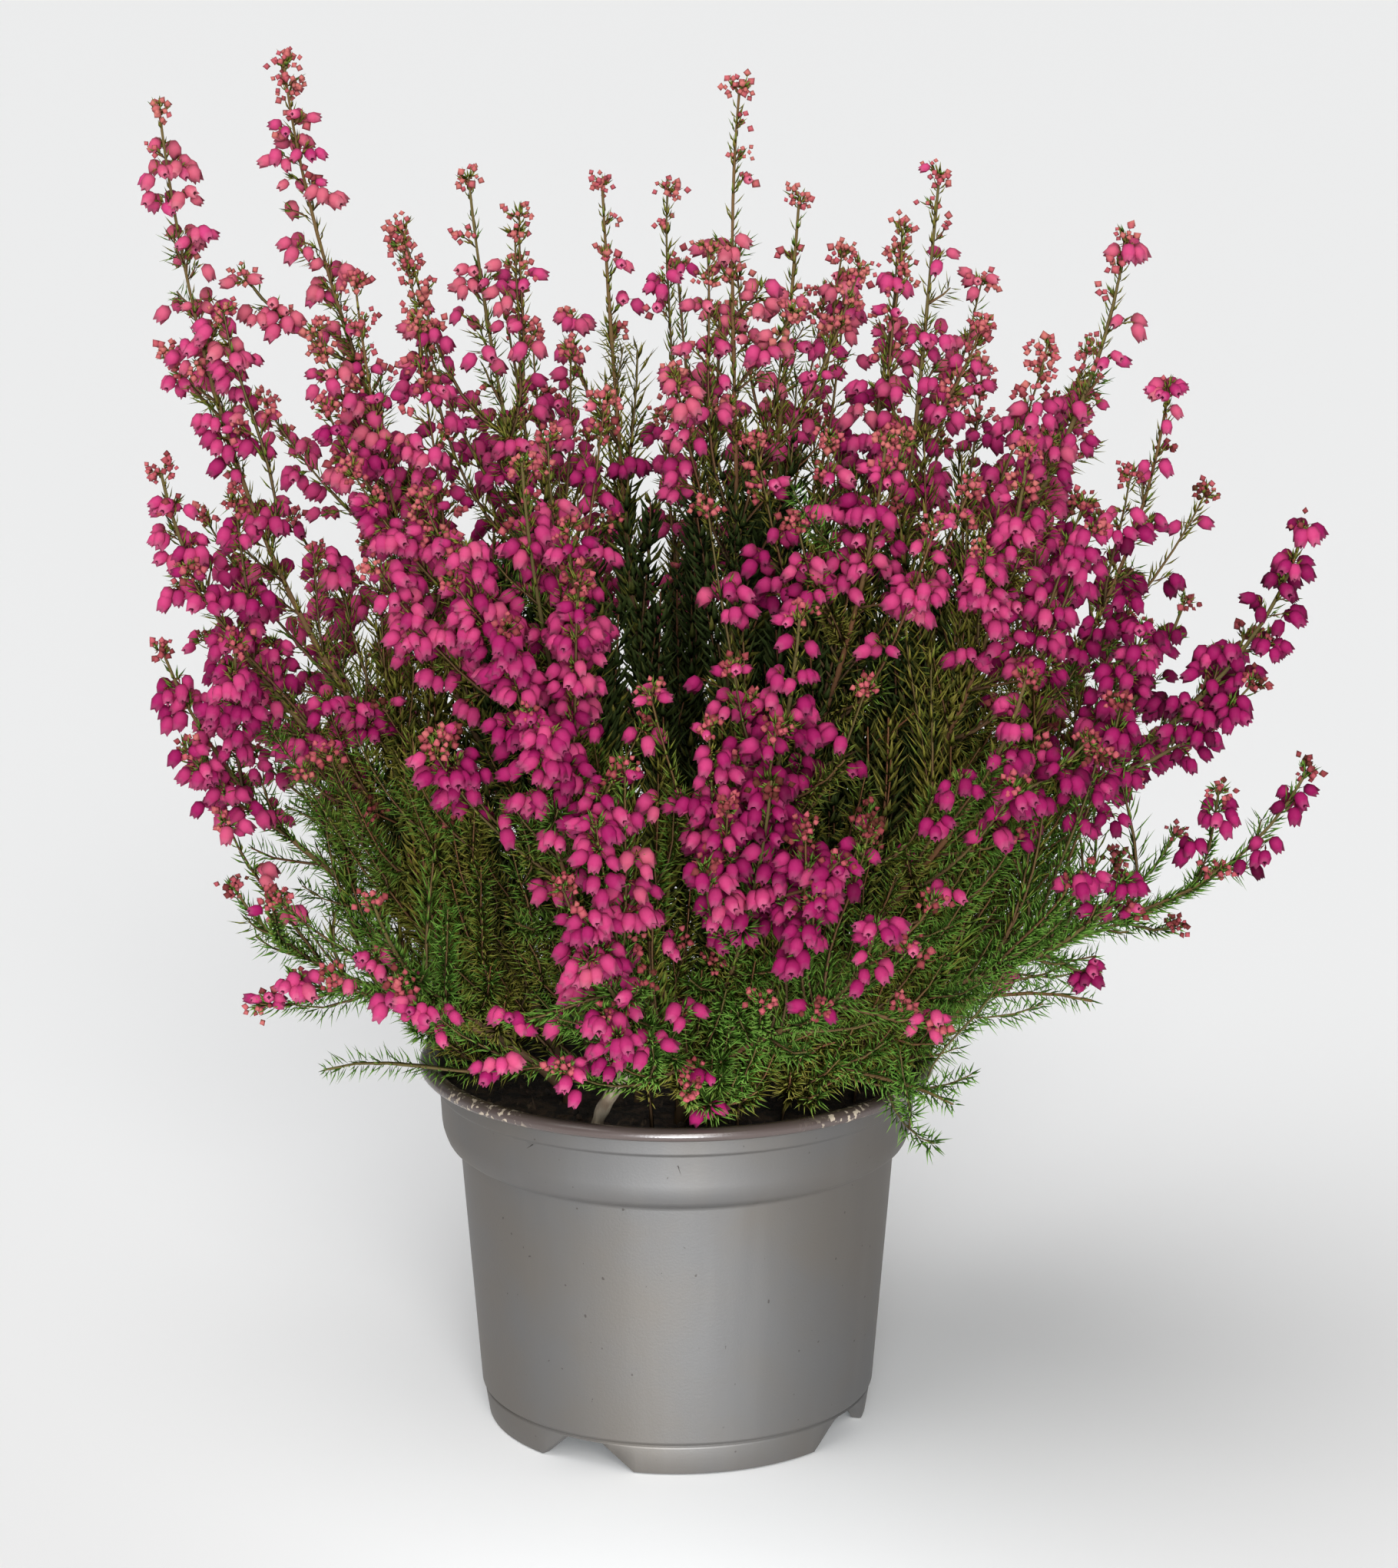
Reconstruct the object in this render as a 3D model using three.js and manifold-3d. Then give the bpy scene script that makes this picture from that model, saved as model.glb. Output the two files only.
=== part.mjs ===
// Potted cape heath: a bushy flowering heath rooted in the peat of a 12 cm grower's pot.
// Millimetres, +Z up. The origin is the middle of the pot's underside, and -Y is the front.

import * as THREE from 'three';
import { mergeVertices } from 'three/addons/utils/BufferGeometryUtils.js';
import Module from 'manifold-3d';

const wasm = await Module();
wasm.setup();

// Driving sizes of the pot
const RIM_RADIUS = 60;
const POT_HEIGHT = 87;
const FOOT_RADIUS = 44.3;
const FOOT_HEIGHT = 7.5;
const WALL = 1.3;
const COLLAR_BOTTOM = 65.8;
const LEDGE_HEIGHT = 79.4;
const LIP_HEIGHT = 3;
const FLOOR_TOP = 8.6;
const CHANNEL_HEIGHT = 6.6;
const PAD_RADIUS = 17;
const POT_SIDES = 30;

// Radii up the outside of the pot, and inside its collar
const BODY_RADIUS = { foot: 45.9, spread: 4.6 };
const GROOVE_RADIUS = { lip: 45.4, bottom: 44.9 };
const FOOT_RING = { wall: 2.6, slope: 0.8 };
const COLLAR_RADIUS = { bottom: 53.2, middle: 54.6, top: 55.1 };
const NECK_RADIUS = { bottom: 55.8, top: 55.9 };
const BORE_RADIUS = { lip: 55.4, ledge: 54.4, collar: 53.2 };
const COLLAR_RISE = 5;

// The foot ring is cut by four drain notches, and the channel behind it has four drain holes
const NOTCH_COUNT = 4;
const NOTCH_AZIMUTH = -28.5;
const NOTCH_HEIGHT = 6.2;
const NOTCH_HALF_WIDTH = { bottom: 12.2, top: 4.7 };
const DRAIN_RADIUS = 3;
const DRAIN_PITCH_RADIUS = 29;

// Peat
const SOIL_EDGE = 78.5;
const SOIL_CROWN = 80.5;
const SOIL_SIDES = 20;
const SOIL_RINGS = [54, 42, 28, 14];
const SOIL_BUMP = { height: 0.8, x: 0.9, y: 0.4, across: 0.7 };
const HOLE_DEPTH = 8;
const STEM_RISE = 1.5;

// Clearance between pieces that touch
const GAP = 0.3;

// Twigs are square tubes, given by half their width
const STEM_HALF = { root: 1.15, seat: 0.7 };
const SPRAY_HALF = { seat: 0.7, flare: 0.91, tip: 0.42 };
const SIDE_HALF = { root: 0.55, tip: 0.4 };
const FORK_HALF = [0.85, 0.6];
const SKIRT_HALF = [0.7, 0.45];
const BAND = 1.7;

// A twig keeps its heading for this share of its length at both ends, and a fork keeps some of the
// heading that its parent has
const TWIG_REACH = 0.34;
const KEPT_HEADING = { fork: 0.9, skirt: 0.5 };

// How steeply a branch starts, by the height of its tip, and how upright it ends
const STEEP = { least: 0.35, most: 0.9, lowest: 110, range: 150 };
const UPRIGHT = { least: 0.55, gain: 0.4 };
const SHOOT_LIFT = 0.5;
const SKIRT_DROP = 0.15;

// Bells are drawn larger than life so that they cover the bush; needles keep their size
const BELL = { length: 8.4, halfMouth: 2.6, nodBack: 0.35, nodDown: 0.3 };
const BUD = { length: 3.6, rise: 0.9 };
const NEEDLE = { length: 5.2, rise: 0.55 };
const CROWDING = 0.35;

// Room that a bell takes: from a share of its length on, with a radius as a share of half its mouth
const BELL_ROOM = { start: 0.25, waist: 0.55, neck: 0.45, body: 0.85, mouth: 1.3 };
const SPIKE_ROOM = { start: 0.8, radius: 0.5 };

// Where each stem forks, and where its flowering sprays take over, as shares of a branch
const FORK_SHARE = 0.2;
const SKIRT_SHARE = 0.12;
const SEAT_SHARE = { first: 0.5, second: 0.42 };
const SIDE_SHARES = [0.16, 0.42];
const WHORL_TURN = Math.PI / 4;

// Where whorls stand, as shares of each kind of shoot
const WHORLS = {
  stem: [0.62, 0.82, 1],
  fork: [0.36, 0.68, 1],
  skirt: [0.4, 0.7, 1],
  spray: [0.3, 0.6, 0.82],
  sideBend: 0.4,
  woodKnot: 0.6,
};

// Each stem has its foot in the peat and carries two flowering sprays. A spray is the tip of its
// leader, then the tips of its side shoots. A skirt is a leafy shoot that spreads low over the rim.
const STEMS = [
  { foot: [-20, 1], sprays: [[[-87, 5, 315], [-80, -10, 257], [-96, -4, 268]],
    [[-113, -10, 305], [-99, -20, 262], [-114, 2, 250]]] },
  { foot: [-11, 4], sprays: [[[-47, 20, 287], [-62, 15, 272], [-36, 6, 276]],
    [[-71, -8, 267], [-56, -24, 260], [-76, -32, 243]]] },
  { foot: [-2, 7], sprays: [[[-17, 30, 284], [-2, 22, 284], [-24, 8, 250]],
    [[14, 0, 308], [7, -12, 275], [26, -18, 262]]] },
  { foot: [9, 5], sprays: [[[28, 28, 282], [40, 34, 264], [14, 40, 262]],
    [[59, 10, 289], [50, 18, 270], [68, -10, 258]]] },
  { foot: [18, -2], sprays: [[[100, 0, 276], [82, -14, 254], [94, 16, 250]],
    [[109, -14, 245], [120, 4, 218], [99, -34, 228]]] },
  { foot: [26, -8], skirt: [92, -44, 112], sprays: [[[139, -20, 214], [128, -26, 180], [130, 2, 186]],
    [[140, -28, 160], [121, -34, 140], [118, -52, 162]]] },
  { foot: [-26, -7], sprays: [[[-113, -25, 227], [-106, -44, 210], [-94, -52, 226]],
    [[-115, -15, 185], [-108, -38, 168], [-94, -60, 196]]] },
  { foot: [-25, -17], skirt: [-78, -44, 96], sprays: [[[-101, -12, 130], [-94, -26, 106], [-88, -56, 138]],
    [[-64, -84, 146], [-74, -74, 126], [-54, -90, 124]]] },
  { foot: [-9, -17], sprays: [[[-32, -70, 237], [-20, -84, 214], [-46, -82, 214]],
    [[-30, -98, 190], [-50, -92, 180], [-12, -104, 178]]] },
  { foot: [11, -9], sprays: [[[45, -50, 238], [55, -64, 222], [26, -62, 222]],
    [[76, -42, 234], [90, -46, 218], [66, -60, 216]]] },
  { foot: [5, -21], sprays: [[[26, -88, 208], [40, -92, 194], [12, -92, 198]],
    [[20, -102, 176], [6, -108, 160], [34, -106, 160]]] },
  { foot: [17, -19], skirt: [60, -72, 97], sprays: [[[74, -76, 192], [60, -88, 174], [88, -66, 176]],
    [[98, -50, 142], [86, -64, 146], [92, -42, 118]]] },
  { foot: [1, -31], sprays: [[[42, -104, 146], [30, -104, 128], [54, -92, 122]],
    [[-18, -106, 148], [-12, -104, 122], [-36, -98, 124]]] },
  { foot: [-18, 13], sprays: [[[-75, 62, 228], [-92, 50, 204], [-60, 76, 204]],
    [[-98, 42, 168], [-110, 24, 180], [-86, 62, 148]]] },
  { foot: [-9, 18], sprays: [[[-35, 78, 243], [-50, 84, 216], [-22, 92, 216]],
    [[-52, 98, 170], [-70, 88, 148], [-34, 108, 150]]] },
  { foot: [0, 19], sprays: [[[10, 70, 250], [-4, 84, 224], [24, 86, 222]],
    [[-2, 110, 176], [-18, 114, 152], [16, 116, 148]]] },
  { foot: [9, 18], sprays: [[[50, 66, 244], [64, 72, 218], [38, 84, 220]],
    [[46, 104, 164], [62, 98, 140], [30, 112, 146]]] },
  { foot: [18, 12], sprays: [[[88, 44, 232], [100, 50, 204], [76, 64, 206]],
    [[92, 74, 160], [106, 58, 178], [78, 88, 138]]] },
  { foot: [26, 4], sprays: [[[118, 26, 188], [126, 40, 162], [106, 44, 190]],
    [[116, 18, 134], [106, 44, 122], [114, -4, 118]]] },
];

// The old wood: a bare crooked branch near the rim in front, forked and cut back among the stems
const OLD_WOOD = { foot: [-18, -43], tip: [-3, -46, 108], half: [1.7, 0.9], forkHalf: [1.1, 0.6] };
const OLD_WOOD_FORKS = [{ at: 0.5, tip: [-20, -44, 106] }, { at: 0.75, tip: [-5, -36, 112] }];

const UP = new THREE.Vector3(0, 0, 1);

const vector = ([x, y, z]) => new THREE.Vector3(x, y, z);

// A geometry's merged vertices as a solid that can be joined and cut
function toSolid(geometry) {
  const bare = geometry.clone();
  bare.deleteAttribute('normal');
  bare.deleteAttribute('uv');
  const merged = mergeVertices(bare, 1e-4);
  const mesh = new wasm.Mesh({
    numProp: 3,
    vertProperties: merged.attributes.position.array,
    triVerts: new Uint32Array(merged.index.array),
  });
  return new wasm.Manifold(mesh);
}

function fromSolid(solid) {
  const { vertProperties, triVerts } = solid.getMesh();
  const geometry = new THREE.BufferGeometry();
  geometry.setAttribute('position', new THREE.BufferAttribute(vertProperties, 3));
  geometry.setIndex(new THREE.BufferAttribute(triVerts, 1));
  return geometry;
}

// A profile of [radius, height] points turned about the Z axis
function turned(profile, sides) {
  const points = profile.map(([radius, height]) => new THREE.Vector2(radius, height));
  const geometry = new THREE.LatheGeometry(points, sides);
  geometry.rotateX(Math.PI / 2);
  return geometry;
}

// Outer radius of the tapered wall between the foot and the collar
const bodyRadius = (height) => {
  const share = (height - FOOT_HEIGHT) / (COLLAR_BOTTOM - FOOT_HEIGHT);
  return BODY_RADIUS.foot + share * BODY_RADIUS.spread;
};

// The pot: a pad in the middle of its floor, a drain channel, foot ring, groove, tapered body,
// collar, ledge and rolled lip, then back down inside
function potProfile() {
  const lipBottom = POT_HEIGHT - LIP_HEIGHT;
  const collarMiddle = COLLAR_BOTTOM + COLLAR_RISE;
  const ringInside = FOOT_RADIUS - FOOT_RING.wall;
  return [
    [0, 0],
    [PAD_RADIUS, 0],
    [PAD_RADIUS + 2, CHANNEL_HEIGHT],
    [ringInside - FOOT_RING.slope, CHANNEL_HEIGHT],
    [ringInside, 0],
    [FOOT_RADIUS, 0],
    [GROOVE_RADIUS.lip, FOOT_HEIGHT - 0.7],
    [GROOVE_RADIUS.bottom, FOOT_HEIGHT - 0.3],
    [bodyRadius(FOOT_HEIGHT + 0.5), FOOT_HEIGHT + 0.5],
    [bodyRadius(COLLAR_BOTTOM), COLLAR_BOTTOM],
    [COLLAR_RADIUS.bottom, COLLAR_BOTTOM + 1.4],
    [COLLAR_RADIUS.middle, collarMiddle],
    [COLLAR_RADIUS.top, LEDGE_HEIGHT],
    [NECK_RADIUS.bottom, LEDGE_HEIGHT + 0.5],
    [NECK_RADIUS.top, lipBottom],
    [RIM_RADIUS - 0.7, lipBottom],
    [RIM_RADIUS, lipBottom + 1.2],
    [RIM_RADIUS - 0.9, POT_HEIGHT - 0.4],
    [RIM_RADIUS - 2.4, POT_HEIGHT],
    [BORE_RADIUS.lip, POT_HEIGHT - 1],
    [BORE_RADIUS.ledge, LEDGE_HEIGHT],
    [BORE_RADIUS.collar, collarMiddle],
    [bodyRadius(COLLAR_BOTTOM) - WALL, COLLAR_BOTTOM - 1],
    [bodyRadius(FLOOR_TOP) - 2 * WALL, FLOOR_TOP],
    [PAD_RADIUS + 1, FLOOR_TOP],
    [PAD_RADIUS - 1, FLOOR_TOP - CHANNEL_HEIGHT],
    [0, FLOOR_TOP - CHANNEL_HEIGHT],
  ];
}

// A trapezoid cut through the foot ring, wider at the table than above
function notchSolid(azimuth) {
  const { bottom, top } = NOTCH_HALF_WIDTH;
  const below = 1;
  const slope = (bottom - top) / NOTCH_HEIGHT;
  const outline = new THREE.Shape([
    new THREE.Vector2(-bottom - slope * below, -below),
    new THREE.Vector2(bottom + slope * below, -below),
    new THREE.Vector2(top, NOTCH_HEIGHT),
    new THREE.Vector2(-top, NOTCH_HEIGHT),
  ]);
  const radialDepth = 12;
  const inner = FOOT_RADIUS - radialDepth / 2;
  const block = new THREE.ExtrudeGeometry(outline, { depth: radialDepth, bevelEnabled: false });
  block.rotateX(Math.PI / 2);
  block.translate(0, -inner, 0);
  block.rotateZ(THREE.MathUtils.degToRad(azimuth));
  return toSolid(block);
}

function drainSolid(azimuth) {
  const sides = 6;
  const drain = new THREE.CylinderGeometry(DRAIN_RADIUS, DRAIN_RADIUS, 4 * FLOOR_TOP, sides);
  drain.rotateX(Math.PI / 2);
  drain.translate(0, -DRAIN_PITCH_RADIUS, 0);
  drain.rotateZ(THREE.MathUtils.degToRad(azimuth));
  return toSolid(drain);
}

function potGeometry() {
  let pot = toSolid(turned(potProfile(), POT_SIDES));
  for (let i = 0; i < NOTCH_COUNT; i += 1) {
    const azimuth = NOTCH_AZIMUTH + (360 / NOTCH_COUNT) * i;
    pot = pot.subtract(notchSolid(azimuth)).subtract(drainSolid(azimuth));
  }
  return fromSolid(pot);
}

// The root ball and its crumbly top, with a plain hole for everything that stands in it
function soilGeometry(holes) {
  const fit = WALL + GAP + 0.2;
  const floor = FLOOR_TOP - CHANNEL_HEIGHT + GAP;
  const surface = SOIL_RINGS.map((radius) => {
    const share = radius / SOIL_RINGS[0];
    return [radius - GAP, SOIL_CROWN - (SOIL_CROWN - SOIL_EDGE) * share * share];
  });
  const geometry = turned([
    [0, floor],
    [PAD_RADIUS - 2, floor],
    [PAD_RADIUS, FLOOR_TOP + GAP],
    [bodyRadius(FLOOR_TOP) - 2 * WALL - 0.6, FLOOR_TOP + GAP],
    [bodyRadius(COLLAR_BOTTOM) - fit, COLLAR_BOTTOM - 0.6],
    [BORE_RADIUS.collar - 0.6, COLLAR_BOTTOM + COLLAR_RISE],
    ...surface,
    [0, SOIL_CROWN],
  ], SOIL_SIDES);
  const position = geometry.attributes.position;
  for (let i = 0; i < position.count; i += 1) {
    const [x, y, z] = [position.getX(i), position.getY(i), position.getZ(i)];
    const bump = Math.sin(x * SOIL_BUMP.x + y * SOIL_BUMP.y) * Math.cos(y * SOIL_BUMP.across);
    if (z > SOIL_EDGE + 0.1) position.setZ(i, z + SOIL_BUMP.height * bump);
  }
  let soil = toSolid(geometry);
  for (const { centre, half, turn } of holes) {
    const side = 2 * (half + GAP);
    const block = new THREE.BoxGeometry(side, side, 2 * HOLE_DEPTH);
    block.rotateZ(turn);
    block.translate(centre.x, centre.y, SOIL_CROWN);
    soil = soil.subtract(toSolid(block));
  }
  return fromSolid(soil);
}

// Shortest distance between two straight stretches
function stretchDistance(a, b, c, d) {
  const u = b.clone().sub(a);
  const v = d.clone().sub(c);
  const w = a.clone().sub(c);
  const uu = Math.max(u.dot(u), 1e-9);
  const vv = Math.max(v.dot(v), 1e-9);
  const uv = u.dot(v);
  const det = uu * vv - uv * uv;
  const clamp = (value) => Math.min(1, Math.max(0, value));
  let s = det > 1e-9 ? clamp((uv * v.dot(w) - vv * u.dot(w)) / det) : 0;
  const t = clamp((uv * s + v.dot(w)) / vv);
  s = clamp((uv * t - u.dot(w)) / uu);
  return w.addScaledVector(u, s).addScaledVector(v, -t).length();
}

// The room in the bush: a bell, a needle or a shoot grows only where nothing else is in its way
class Room {
  constructor() {
    this.taken = [];
  }

  add(stretches, owner) {
    for (const { a, b, radius } of stretches) {
      const middle = a.clone().lerp(b, 0.5);
      const reach = a.distanceTo(b) / 2 + radius;
      this.taken.push({ a, b, radius, owner, middle, reach });
    }
  }

  isFree(stretches, allowed) {
    return stretches.every(({ a, b, radius }) => {
      const middle = a.clone().lerp(b, 0.5);
      const reach = a.distanceTo(b) / 2 + radius + CROWDING;
      return this.taken.every((other) => {
        if (allowed.includes(other.owner)) return true;
        if (middle.distanceTo(other.middle) > reach + other.reach) return true;
        return stretchDistance(a, b, other.a, other.b) > radius + other.radius + CROWDING;
      });
    });
  }
}

// A closed surface that grows: square tubes whose side faces sprout bells, buds, needles and shoots
class Growth {
  constructor() {
    this.positions = [];
    this.triangles = [];
  }

  vertex(point) {
    this.positions.push(point);
    return this.positions.length - 1;
  }

  // Four corners about a centre. They run anticlockwise when seen from ahead.
  ring(centre, ahead, side, half) {
    const across = side.clone().addScaledVector(ahead, -side.dot(ahead)).normalize();
    const over = ahead.clone().cross(across);
    return [[-1, -1], [1, -1], [1, 1], [-1, 1]].map(([i, j]) => this.vertex(
      centre.clone().addScaledVector(across, i * half).addScaledVector(over, j * half),
    ));
  }

  // The four side faces between two rings
  faces(lower, upper) {
    return lower.map((_, i) => [lower[i], lower[(i + 1) % 4], upper[(i + 1) % 4], upper[i]]);
  }

  quad([a, b, c, d]) {
    this.triangles.push([a, b, c], [a, c, d]);
  }

  tube(lower, upper) {
    this.faces(lower, upper).forEach((face) => this.quad(face));
  }

  spike(face, apex) {
    const tip = this.vertex(apex);
    face.forEach((corner, i) => this.triangles.push([corner, face[(i + 1) % 4], tip]));
  }

  centre(face) {
    return face.reduce((sum, corner) => sum.add(this.positions[corner]), new THREE.Vector3()).divideScalar(4);
  }

  side(face) {
    return this.positions[face[1]].clone().sub(this.positions[face[0]]).normalize();
  }

  normal(face) {
    const [a, b, c, d] = face.map((corner) => this.positions[corner]);
    return c.clone().sub(a).cross(d.clone().sub(b)).normalize();
  }

  geometry() {
    const geometry = new THREE.BufferGeometry();
    const positions = this.positions.flatMap((point) => point.toArray());
    geometry.setAttribute('position', new THREE.Float32BufferAttribute(positions, 3));
    geometry.setIndex(this.triangles.flat());
    return geometry;
  }
}

// A long branch ends rising, and leans outward by what its uprightness leaves
function branchEnd(tip, uprightness) {
  const outward = new THREE.Vector3(tip.x, tip.y, 0).normalize();
  return outward.multiplyScalar(1 - uprightness).addScaledVector(UP, uprightness).normalize();
}

// A short side shoot ends along its own line, turned up a little
const shootEnd = (foot, tip) => tip.clone().sub(foot).normalize()
  .addScaledVector(UP, SHOOT_LIFT).normalize();

// A twig leaves its foot along `start` and reaches its tip along `end`
function twigCurve(foot, start, tip, end) {
  const reach = TWIG_REACH * foot.distanceTo(tip);
  return new THREE.CubicBezierCurve3(
    foot,
    foot.clone().addScaledVector(start, reach),
    tip.clone().addScaledVector(end, -reach),
    tip,
  );
}

// The straight stretches that stand for part of a curve when room is tested
function curveStretches(curve, from, to, radius) {
  const steps = 10;
  const shares = Array.from({ length: steps + 1 }, (_, i) => from + ((to - from) * i) / steps);
  const points = shares.map((share) => curve.getPoint(share));
  return points.slice(1).map((b, i) => ({ a: points[i], b, radius }));
}

// Rings along a curve. `whorls` lists the bands where the side faces sprout.
function growShoot(growth, foot, curve, half, whorls, sprout) {
  const length = curve.getLength();
  let lower = foot.ring;
  let side = foot.side.clone();
  const ringAt = (share, heading) => {
    const ahead = curve.getTangent(share);
    side = side.addScaledVector(ahead, -side.dot(ahead)).normalize();
    if (heading) side = nearestQuarter(side, ahead, heading);
    return growth.ring(curve.getPoint(share), ahead, side, THREE.MathUtils.lerp(half[0], half[1], share));
  };
  for (const whorl of whorls) {
    if (whorl.kind === 'bend') {
      const bend = ringAt(whorl.at);
      growth.tube(lower, bend);
      lower = bend;
      continue;
    }
    side.applyAxisAngle(curve.getTangent(whorl.at), whorl.heading ? 0 : WHORL_TURN);
    const below = ringAt(whorl.at - BAND / length, whorl.heading);
    growth.tube(lower, below);
    const above = ringAt(whorl.at, whorl.heading);
    growth.faces(below, above).forEach((face) => sprout(face, whorl, curve.getTangent(whorl.at)));
    lower = above;
  }
  growth.quad(lower);
}

// Of the four ways to turn a square twig so that one face looks along `heading`, the least turn
function nearestQuarter(side, ahead, heading) {
  const facing = heading.clone().addScaledVector(ahead, -heading.dot(ahead)).normalize();
  const across = ahead.clone().cross(facing);
  const choices = [facing, across, facing.clone().negate(), across.clone().negate()];
  return choices.reduce((best, choice) => (choice.dot(side) > best.dot(side) ? choice : best)).clone();
}

// A nodding bell: narrow where it leaves the twig, wide and square at its mouth
function growBell(growth, face, ahead, room, owner) {
  const out = growth.normal(face);
  const nod = out.clone().addScaledVector(ahead, -BELL.nodBack).addScaledVector(UP, -BELL.nodDown)
    .normalize();
  const root = growth.centre(face);
  const mouth = root.clone().addScaledVector(nod, BELL.length);
  const neck = root.clone().lerp(mouth, BELL_ROOM.start);
  const waist = root.clone().lerp(mouth, BELL_ROOM.waist);
  const body = [
    { a: neck, b: waist, radius: BELL.halfMouth * BELL_ROOM.neck },
    { a: waist, b: mouth, radius: BELL.halfMouth * BELL_ROOM.body },
    { a: mouth, b: mouth, radius: BELL.halfMouth * BELL_ROOM.mouth },
  ];
  if (!room.isFree(body, [owner])) return false;
  room.add(body, `${owner} bells ${growth.positions.length}`);
  const rim = growth.ring(mouth, nod, growth.side(face), BELL.halfMouth);
  growth.tube(face, rim);
  growth.quad(rim);
  return true;
}

// A needle or a bud: a slim four-sided spike that rises from one face of the twig
function growSpike(growth, face, ahead, { length, rise }, room, owner) {
  const root = growth.centre(face);
  const way = growth.normal(face).addScaledVector(ahead, rise).normalize();
  const apex = root.clone().addScaledVector(way, length);
  const start = root.clone().addScaledVector(way, SPIKE_ROOM.start);
  const body = [{ a: start, b: apex, radius: SPIKE_ROOM.radius }];
  if (!room.isFree(body, [owner])) return false;
  room.add(body, `${owner} spikes ${growth.positions.length}`);
  growth.spike(face, apex);
  return true;
}

// Sprouts for one shoot: each face of a whorl grows its kind, if there is room, or stays plain
function sprouter(growth, room, owner) {
  const facing = 0.6;
  return (face, whorl, ahead) => {
    if (whorl.fork && growth.normal(face).dot(whorl.heading) > facing) {
      whorl.fork({ ring: face, side: growth.side(face) });
      return;
    }
    if (whorl.kind === 'bare') {
      growth.quad(face);
      return;
    }
    const grown = whorl.kind === 'bell'
      ? growBell(growth, face, ahead, room, owner)
      : growSpike(growth, face, ahead, whorl.kind === 'bud' ? BUD : NEEDLE, room, owner);
    if (!grown) growth.quad(face);
  };
}

const headingOf = (curve, share, point) => {
  const heading = point.clone().sub(curve.getPoint(share));
  const ahead = curve.getTangent(share);
  return heading.addScaledVector(ahead, -heading.dot(ahead)).normalize();
};

// How steeply a branch climbs to its tip
const steepness = (tip) => Math.min(STEEP.most, Math.max(STEEP.least, (tip.z - STEEP.lowest) / STEEP.range));

// The way a fork starts: towards its tip, with some of its parent's heading
const forkStart = (curve, share, tip, kept) => headingOf(curve, share, tip)
  .addScaledVector(curve.getTangent(share), kept).normalize();

// The routes of one stem: its two branches, and the side shoots near the end of each
function planStem({ foot, skirt, sprays: [first, second] }, index) {
  const firstTip = vector(first[0]);
  const secondTip = vector(second[0]);
  const root = vector([...foot, SOIL_CROWN + STEM_RISE]);
  const endOf = (tip) => branchEnd(tip, UPRIGHT.least + UPRIGHT.gain * steepness(tip));
  const firstStart = new THREE.Vector3(firstTip.x, firstTip.y, 0).normalize()
    .multiplyScalar(1 - steepness(firstTip)).addScaledVector(UP, KEPT_HEADING.fork).normalize();
  const firstCurve = twigCurve(root, firstStart, firstTip, endOf(firstTip));
  const secondStart = forkStart(firstCurve, FORK_SHARE, secondTip, KEPT_HEADING.fork);
  const secondCurve = twigCurve(firstCurve.getPoint(FORK_SHARE), secondStart, secondTip, endOf(secondTip));
  const name = `${index + 1}`.padStart(2, '0');
  return {
    name,
    root,
    skirt: skirt && skirtCurve(firstCurve, vector(skirt)),
    half: STEM_HALF.root,
    turn: Math.atan2(root.y, root.x),
    branches: [
      { curve: firstCurve, seat: SEAT_SHARE.first, sides: first.slice(1).map(vector), name: `${name}a` },
      { curve: secondCurve, seat: SEAT_SHARE.second, sides: second.slice(1).map(vector), name: `${name}b` },
    ],
  };
}

// A skirt leaves the stem sideways and ends level, a little below its highest point
function skirtCurve(stemCurve, tip) {
  const start = forkStart(stemCurve, SKIRT_SHARE, tip, KEPT_HEADING.skirt);
  const end = new THREE.Vector3(tip.x, tip.y, 0).normalize().addScaledVector(UP, -SKIRT_DROP).normalize();
  return twigCurve(stemCurve.getPoint(SKIRT_SHARE), start, tip, end);
}

// Side shoots leave the leader low down in the flowering part
function planSides(branch, room) {
  const clearFrom = 0.12;
  branch.shoots = [];
  branch.sides.forEach((tip, i) => {
    const share = THREE.MathUtils.lerp(branch.seat, 1, SIDE_SHARES[i]);
    const foot = branch.curve.getPoint(share);
    const heading = headingOf(branch.curve, share, tip);
    const start = forkStart(branch.curve, share, tip, KEPT_HEADING.fork);
    const curve = twigCurve(foot, start, tip, shootEnd(foot, tip));
    const stretches = curveStretches(curve, clearFrom, 1, SIDE_HALF.root * Math.SQRT2);
    const owner = `${branch.name} side ${i}`;
    if (!room.isFree(stretches, [`${branch.name} leader`])) return;
    room.add(stretches, owner);
    branch.shoots.push({ share, heading, curve, owner });
  });
}

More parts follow.
